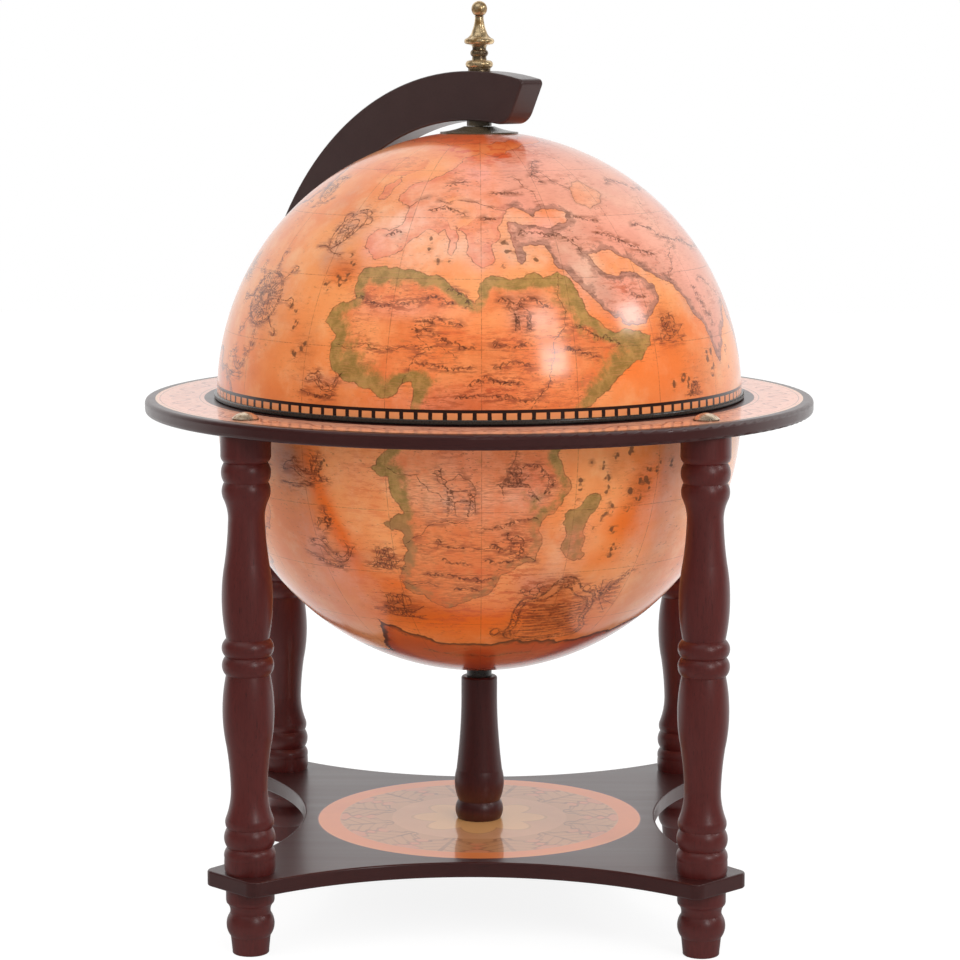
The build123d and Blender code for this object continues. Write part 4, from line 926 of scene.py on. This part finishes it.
def mould_half(name, middle, rim, upper, pole_hole):
    """One half of the globe, cut from a ball at its rim, with an inner wall and a hole at its pole."""
    keep = 1 if upper else -1
    ball_place = (0, 0, middle / 1000)
    walls = []
    for outside in (True, False):
        bpy.ops.object.select_all(action="DESELECT")
        if outside:
            reach = (pole_hole + outer_hole_margin) / 1000
            bpy.ops.mesh.primitive_ico_sphere_add(
                subdivisions=outer_fineness, radius=globe_radius / 1000, location=ball_place)
        else:
            reach = pole_hole / 1000
            bpy.ops.mesh.primitive_uv_sphere_add(
                segments=inner_columns, ring_count=inner_rows,
                radius=(globe_radius - shell) / 1000, location=ball_place)
        ball = bpy.context.object
        bpy.ops.object.transform_apply(location=True, rotation=True, scale=True)
        bpy.ops.object.mode_set(mode="EDIT")
        bpy.ops.mesh.select_all(action="SELECT")
        bpy.ops.mesh.bisect(plane_co=(0, 0, rim / 1000), plane_no=(0, 0, keep), clear_inner=True)
        bpy.ops.mesh.select_all(action="DESELECT")
        bpy.ops.object.mode_set(mode="OBJECT")
        for point in ball.data.vertices:
            point.select = math.hypot(point.co.x, point.co.y) < reach
        bpy.ops.object.mode_set(mode="EDIT")
        bpy.ops.mesh.delete(type="VERT")
        if not outside:
            bpy.ops.mesh.select_all(action="SELECT")
            bpy.ops.mesh.flip_normals()
        bpy.ops.object.mode_set(mode="OBJECT")
        walls.append(ball)
    for ball in walls:
        ball.select_set(True)
    bpy.context.view_layer.objects.active = walls[0]
    bpy.ops.object.join()
    half = bpy.context.object
    half.name = name
    for near_pole in (False, True):
        bpy.ops.object.mode_set(mode="EDIT")
        bpy.ops.mesh.select_mode(type="EDGE")
        bpy.ops.mesh.select_all(action="DESELECT")
        bpy.ops.mesh.select_non_manifold(extend=False)
        bpy.ops.object.mode_set(mode="OBJECT")
        points = half.data.vertices
        for edge in half.data.edges:
            end = points[edge.vertices[0]].co
            edge.select = edge.select and (math.hypot(end.x, end.y) < pole_zone) == near_pole
        bpy.ops.object.mode_set(mode="EDIT")
        bpy.ops.mesh.bridge_edge_loops()
        bpy.ops.object.mode_set(mode="OBJECT")
    bpy.ops.object.mode_set(mode="EDIT")
    bpy.ops.mesh.select_mode(type="VERT")
    bpy.ops.mesh.select_all(action="SELECT")
    bpy.ops.mesh.normals_make_consistent(inside=False)
    bpy.ops.object.mode_set(mode="OBJECT")
    bpy.ops.object.shade_smooth_by_angle(angle=math.radians(smooth_angle))
    lay_map(half, middle)
    return half


meridian_start = 1.4
meridian_step = 20
parallel_step = 15
degree = (math.pi / 180) * globe_radius


def map_paper(name, middle):
    """The printed map under lacquer, for a half whose ball has its middle at that height."""
    material, finish, object_place = material_of(name)
    place = finish.vector_math("SUBTRACT", object_place, (0, 0, middle / 1000))
    x, y, z = finish.parts(place)
    distance = (x * x + y * y + z * z).math("SQRT")
    east = x.math("ARCTAN2", y * -1) * (180 / math.pi)
    north = (z / distance).math("ARCSINE") * (180 / math.pi)

    def painted(layer):
        return finish.node("Attribute", {"attribute_name": layer}, None, "Fac")

    cloud = finish.mottle(place, 16, 4.0, 0.6)
    blotch = finish.mottle(place, 60, 4.0, 0.65)
    tooth = finish.mottle(place, 700, 2.0)
    streak = finish.mottle(finish.stretched(place, 1, 1, 4.5), 105, 4.0, 0.7)
    fine_streak = finish.mottle(finish.stretched(place, 1, 1, 9), 190, 2.0, 0.6)
    green, other, lake, island = map(painted, coasts)
    rose, pale_and_sheen, mauve, rust, glow, umber, moss = map(painted, washes)

    in_green = finish.fade(green, -0.1, 0.1)
    in_other = finish.fade(other, -0.1, 0.1) * (1 - finish.fade(lake, -0.1, 0.1) * 0.6)
    land = in_green.math("MAXIMUM", in_other)
    eastern = finish.fade(east, 5, 12)
    southern = finish.fade(north, -30, -42)
    grey_side = eastern.math("MAXIMUM", southern).math("MAXIMUM", finish.fade(east, -50, -60))

    sea = finish.over(finish.fade(cloud, 0.3, 0.7), tone(240, 128, 58), tone(253, 164, 96))
    sea = finish.over(finish.fade(blotch, 0.45, 0.8) * 0.6, sea, tone(254, 188, 130))
    earth = finish.over(finish.fade(blotch, 0.3, 0.7), tone(232, 118, 60), tone(252, 154, 90))
    coats = Coats(finish, finish.over(land * 0.85, sea, earth))
    coats.lay(finish.fade(north, 69, 77) * 0.75, tone(234, 86, 34))
    asian = eastern * finish.fade(east, 178, 150)
    coats.lay(in_other * asian * 0.7, tone(228, 160, 140))
    coats.lay(southern * in_other * 0.97, tone(178, 54, 2))
    coats.lay(glow * 0.85, tone(246, 112, 20))
    patchy = 0.35 + 1.1 * finish.fade(blotch, 0.25, 0.75)
    coats.lay(rose * 0.8 * patchy, tone(248, 160, 136))
    coats.lay(mauve * 0.62 * patchy, tone(190, 134, 116))
    strokes = finish.fade(streak, 0.48, 0.6)
    coats.lay(rust * (0.3 + 0.6 * strokes), tone(220, 88, 40))
    drift = finish.mottle(place, 34, 3.0)
    smear = strokes * finish.fade(drift, 0.46, 0.6) * (0.25 + 0.75 * land)
    coats.lay(smear * 0.42, tone(188, 92, 56))
    hatch = finish.fade(fine_streak, 0.54, 0.64) * land
    coats.lay(hatch * (0.12 + 0.35 * rust + 0.2 * mauve), tone(160, 74, 42))
    ink_gap = painted("ink_gap")
    shade = finish.fade(ink_gap, 4.2, 0.4) * finish.fade(streak, 0.46, 0.58)
    coats.lay(shade * 0.65, tone(146, 74, 44))
    coats.lay(umber * (0.5 + 0.4 * strokes), tone(164, 78, 34))
    coats.lay(finish.fade(north, -12, -45) * 0.14, tone(180, 70, 14))
    # A lighter wash over the print, which over Spain is a painted highlight.
    coats.lay(pale_and_sheen * 0.5 * patchy, tone(254, 206, 176))
    dabs = finish.mottle(finish.stretched(place, 1, 1, 2.6), 330, 3.0, 0.6)
    dabs = finish.fade(dabs, 0.6, 0.68) * finish.fade(drift, 0.42, 0.58) * (0.6 + 0.4 * land)
    coats.lay(dabs * (0.45 + 0.2 * finish.fade(north, 5, -5)), tone(108, 56, 34))

    scored = finish.fade(fine_streak, 0.42, 0.6)
    low_land = in_green * finish.fade(north, 0, -14)
    coats.lay(low_land * (0.1 + 0.42 * finish.fade(blotch, 0.36, 0.64) * scored), tone(146, 74, 40))
    band = finish.fade(green, 7.5, 3.5) * in_green * (0.65 + 0.35 * finish.fade(north, -9, -1))
    tuft = finish.mottle(place, 150, 4.0, 0.65)
    grassy = in_green * (band * 0.62 + moss * 0.8 + (tuft - 0.5) * 1.5)
    olive = finish.over(finish.fade(tuft, 0.35, 0.65), tone(172, 140, 72), tone(122, 110, 46))
    olive = finish.over(finish.fade(fine_streak, 0.5, 0.66) * 0.5, olive, tone(196, 138, 84))
    olive = finish.over(finish.fade(north, -10, -22) * 0.6, olive, tone(158, 106, 70))
    coats.lay(finish.fade(grassy, 0.12, 0.8) * 0.84, olive)
    edge_reach = 1.6 + 8.0 * finish.fade(tuft, 0.3, 0.75)
    edge = in_other * finish.fade(other / edge_reach, 1.0, 0.35) * finish.fade(north, 66, 61)
    edge_ink = finish.over(grey_side, tone(226, 112, 90), tone(134, 92, 76))
    edge_ink = finish.over(southern, edge_ink, tone(92, 46, 22))
    coats.lay(edge * (0.35 + 0.5 * grey_side) * (0.6 + 0.4 * strokes), edge_ink)
    south_rim = in_other * southern * finish.fade(other, 3.2, 0.8)
    coats.lay(south_rim * 0.75, tone(66, 34, 18))
    lake_edge = finish.fade(abs(lake), 2.2, 0.4)
    coats.lay(lake_edge * 0.3 * tuft, tone(140, 92, 60))
    coats.lay(finish.fade(island, -2.4, 0) * 0.4 * strokes, tone(150, 78, 42))
    coats.lay(finish.fade(island, -0.25, 0.25) * 0.8, tone(98, 64, 38))

    coast_gap = abs(green).math("MINIMUM", abs(other)).math("MINIMUM", abs(lake))
    coast_line = finish.fade(coast_gap, 0.45, 0.2)
    sea_hatch = finish.fade(abs((north * 1.25).math("FRACT") - 0.5), 0.1, 0.04) * (1 - land)
    sea_hatch = sea_hatch * finish.fade(coast_gap, 3.2, 1.2)
    offset = finish.node("Attribute", {"attribute_name": "ink_offset"}, None, "Vector")
    drawn_gap = finish.node("VectorMath", {"operation": "LENGTH"}, {0: offset}, "Value")
    drawn_width = painted("ink_width")
    line_ink = finish.fade(drawn_gap / drawn_width, 1.1, 0.55) * finish.fade(ink_gap, 1.5, 1.1)
    level = (z / distance * (z / distance) * -1 + 1).math("SQRT")
    meridian = ((east - meridian_start) / meridian_step + 50.5).math("FRACT")
    parallel = (north / parallel_step + 50.5).math("FRACT")
    meridian_gap = abs(meridian - 0.5) * (meridian_step * degree) * level
    parallel_gap = abs(parallel - 0.5) * (parallel_step * degree)
    net_gap = meridian_gap.math("MINIMUM", parallel_gap)
    net = finish.fade(net_gap, 0.34, 0.14) * finish.fade(level, 0.2, 0.3)
    lines = (coast_line * 0.6).math("MAXIMUM", line_ink * 0.85).math("MAXIMUM", net * 0.45)
    lines = lines.math("MAXIMUM", sea_hatch * 0.4)
    worn = (0.35 + 0.65 * finish.fade(tooth, 0.38, 0.55)) * (0.6 + 0.4 * finish.fade(tuft, 0.35, 0.6))
    coats.lay(lines * worn, tone(78, 38, 18))
    coats.lay(tooth * 0.12, tone(150, 84, 50))
    return material, coats, distance, object_place


# Between these distances from the globe's middle the map gives way to the lining.
map_ends, lining_starts = 164.0, 163.4


def lacquer_map(material, coats, distance, place, half):
    """Closes the finish: the map outside, mottled paper inside, and gloss lacquer, thinner inside."""
    finish = coats.finish
    inside = finish.fade(distance, map_ends / 1000, lining_starts / 1000)
    stain = finish.mottle(place, 26, 4.0, 0.6)
    fibre = finish.mottle(place, 420, 3.0, 0.6)
    stained = finish.fade(stain * 0.7 + fibre * 0.3, 0.35, 0.65)
    lining = finish.over(stained, tone(160, 98, 56), tone(206, 146, 98))
    surface(finish, {
        "Base Color": finish.over(inside, coats.colour, lining),
        "Roughness": 0.5,
        "Specular IOR Level": 0.15,
        "Coat Weight": 1 - inside * 0.6,
        "Coat Roughness": 0.16,
    })
    half.data.materials.clear()
    half.data.materials.append(material)


lower_middle = 314.3
lower_rim = 314.3
screw_hole = 2.55
lower_half = mould_half("lower_half", lower_middle, lower_rim, False, screw_hole)
lacquer_map(*map_paper("lower_map_paper", lower_middle), lower_half)
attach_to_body(lower_half, "stand")
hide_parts("lower_hemisphere")

# The hoop: a ring of solid wood glued inside the bowl's mouth; six wood screws go
# up through it into the underside of the table ring, and the deck rests on it.


def bare_wood(name, dark, light):
    """Pale wood under one thin coat of varnish."""
    material, finish, place = material_of(name)
    run = finish.stretched(place, 0.06, 1, 1)
    fibre = finish.mottle(run, 800, 3.0, 0.6)
    figure = finish.mottle(run, 80, 2.0, 0.55)
    relief = {"Strength": 0.15, "Distance": 0.0002, "Height": fibre}
    surface(finish, {
        "Base Color": finish.over(fibre * 0.5 + figure * 0.5, dark, light),
        "Roughness": 0.42 + fibre * 0.15,
        "Normal": finish.node("Bump", None, relief),
        "Coat Weight": 0.25,
        "Coat Roughness": 0.25,
    })
    return material


beech = bare_wood("beech", tone(142, 92, 52), tone(190, 136, 84))
dress(beech, "rim_hoop")
dress(steel, "hoop_screws")

# The column: a turned wooden post between the shelf and the bowl's foot, with a
# black collar on top, screwed from below through the shelf and from inside the bowl.


def moulded_black(name, dark, light):
    """Black moulded plastic, glossy, with faint scuffs."""
    material, finish, place = material_of(name)
    scuffs = finish.mottle(place, 900, 4.0, 0.7)
    cloud = finish.mottle(place, 40, 2.0)
    surface(finish, {
        "Base Color": finish.over(cloud, dark, light),
        "Roughness": 0.2 + scuffs * 0.16,
        "Normal": finish.node("Bump", None, {"Strength": 0.04, "Distance": 0.0002, "Height": scuffs}),
        "Coat Weight": 0.2,
        "Coat Roughness": 0.1,
    })
    return material


black_plastic = moulded_black("black_plastic", tone(38, 36, 33), tone(54, 50, 45))
# The column's wood is the legs' mahogany painted darker: painted shade, as the column stands under the
# globe.
shaded_column_wood = stained_wood("mahogany_column_shaded", "z", tone(46, 13, 12), tone(86, 30, 27), 0.32)
dress(shaded_column_wood, "column")
dress(black_plastic, "column_collar")
dress(steel, "column_top_screw", "column_base_screw")

# The insert: a round deck of panel flush in the ring, with a hole for a bottle
# and four for glasses; turned posts hang two shelves for them to stand on.

deck_board = bare_wood("deck_board", tone(112, 62, 34), tone(152, 92, 52))
dress(deck_board, "deck", "glass_floor", "bottle_floor")
dress(beech, "deck_posts", "bottle_posts")

# The upper half, the dome: moulded and papered like the bowl, with a printed
# band of squares round its foot; it turns on a rod through its pole.

square_count = 120
band_head = 330.6
band_line = 332.4

upper_middle = 324.0
upper_rim = 324.6
rod_hole = 3.25
upper_half = mould_half("upper_half", upper_middle, upper_rim, True, rod_hole)
material, coats, distance, place = map_paper("upper_map_paper", upper_middle)
finish = coats.finish
x, y, z = finish.parts(place)
height = z * 1000
turn = y.math("ARCTAN2", x) / math.tau + 0.5
step = abs((turn * square_count).math("FRACT") - 0.5)
edge_wobble = (finish.mottle(place, 300, 2.0) - 0.5) * 0.06
below_head = finish.fade(height, band_head, band_head - 0.25)
square = finish.fade(step + edge_wobble, 0.375, 0.345) * below_head
paper = finish.over(finish.mottle(place, 160, 2.0), tone(230, 138, 80), tone(244, 160, 102))
band = finish.over(square, tone(44, 24, 18), paper)
coats.lay(finish.fade(height, band_line + 0.15, band_line - 0.15), band)
lacquer_map(material, coats, distance, place, upper_half)
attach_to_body(upper_half, "dome")
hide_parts("upper_hemisphere")

# The dome's rim trim: a black moulded ring with a groove that grips the cut edge
# of the dome, and runs just clear of the table ring when the dome turns.

dress(black_plastic, "dome_rim_trim")

# The dome's flange: a black turned boss round the pole, screwed through the
# shell to a steel plate inside.

brown_plastic = moulded_black("brown_black_plastic", tone(74, 63, 50), tone(102, 88, 68))
dress(brown_plastic, "dome_flange")
dress(steel, "dome_backing_plate", "flange_screws")

# The arm: a quarter hoop sawn from thick panel, its edges eased, stained nearly
# black-brown and lacquered satin; a brass butt hinge joins its foot to the ring.

arm_wood = stained_wood("arm_wood", "x", tone(53, 34, 33), tone(74, 51, 48))
hinge_brass = aged_brass("hinge_brass", tone(140, 106, 58), tone(206, 170, 100))
dress(arm_wood, "arm")
dress(hinge_brass, "hinge_ring_leaf", "hinge_arm_leaf", "hinge_pin")
dress(hinge_brass, "hinge_ring_screws", "hinge_arm_screws")

# The pivot: a steel rod down through the arm and the dome's pole, with a black
# collar between them, and a washer and nut inside; the finial screws on its top.

dress(steel, "pivot_rod", "pivot_washer", "pivot_nut")
dress(brown_plastic, "pivot_collar")
finial_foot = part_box("finial")[0][2]
# Dark bands on the finial: over its neck and bead, patina in the grooves with painted shade; under its
# ball and at its foot on the arm, painted shade.
finial_dark_bands = [
    (finial_foot + rise, half_width)
    for rise, half_width in ((0.0115, 0.0046), (0.0340, 0.0010), (0.0004, 0.0014))
]
finial_brass = aged_brass("finial_brass", tone(142, 108, 62), tone(238, 210, 164), finial_dark_bands)
dress(finial_brass, "finial")
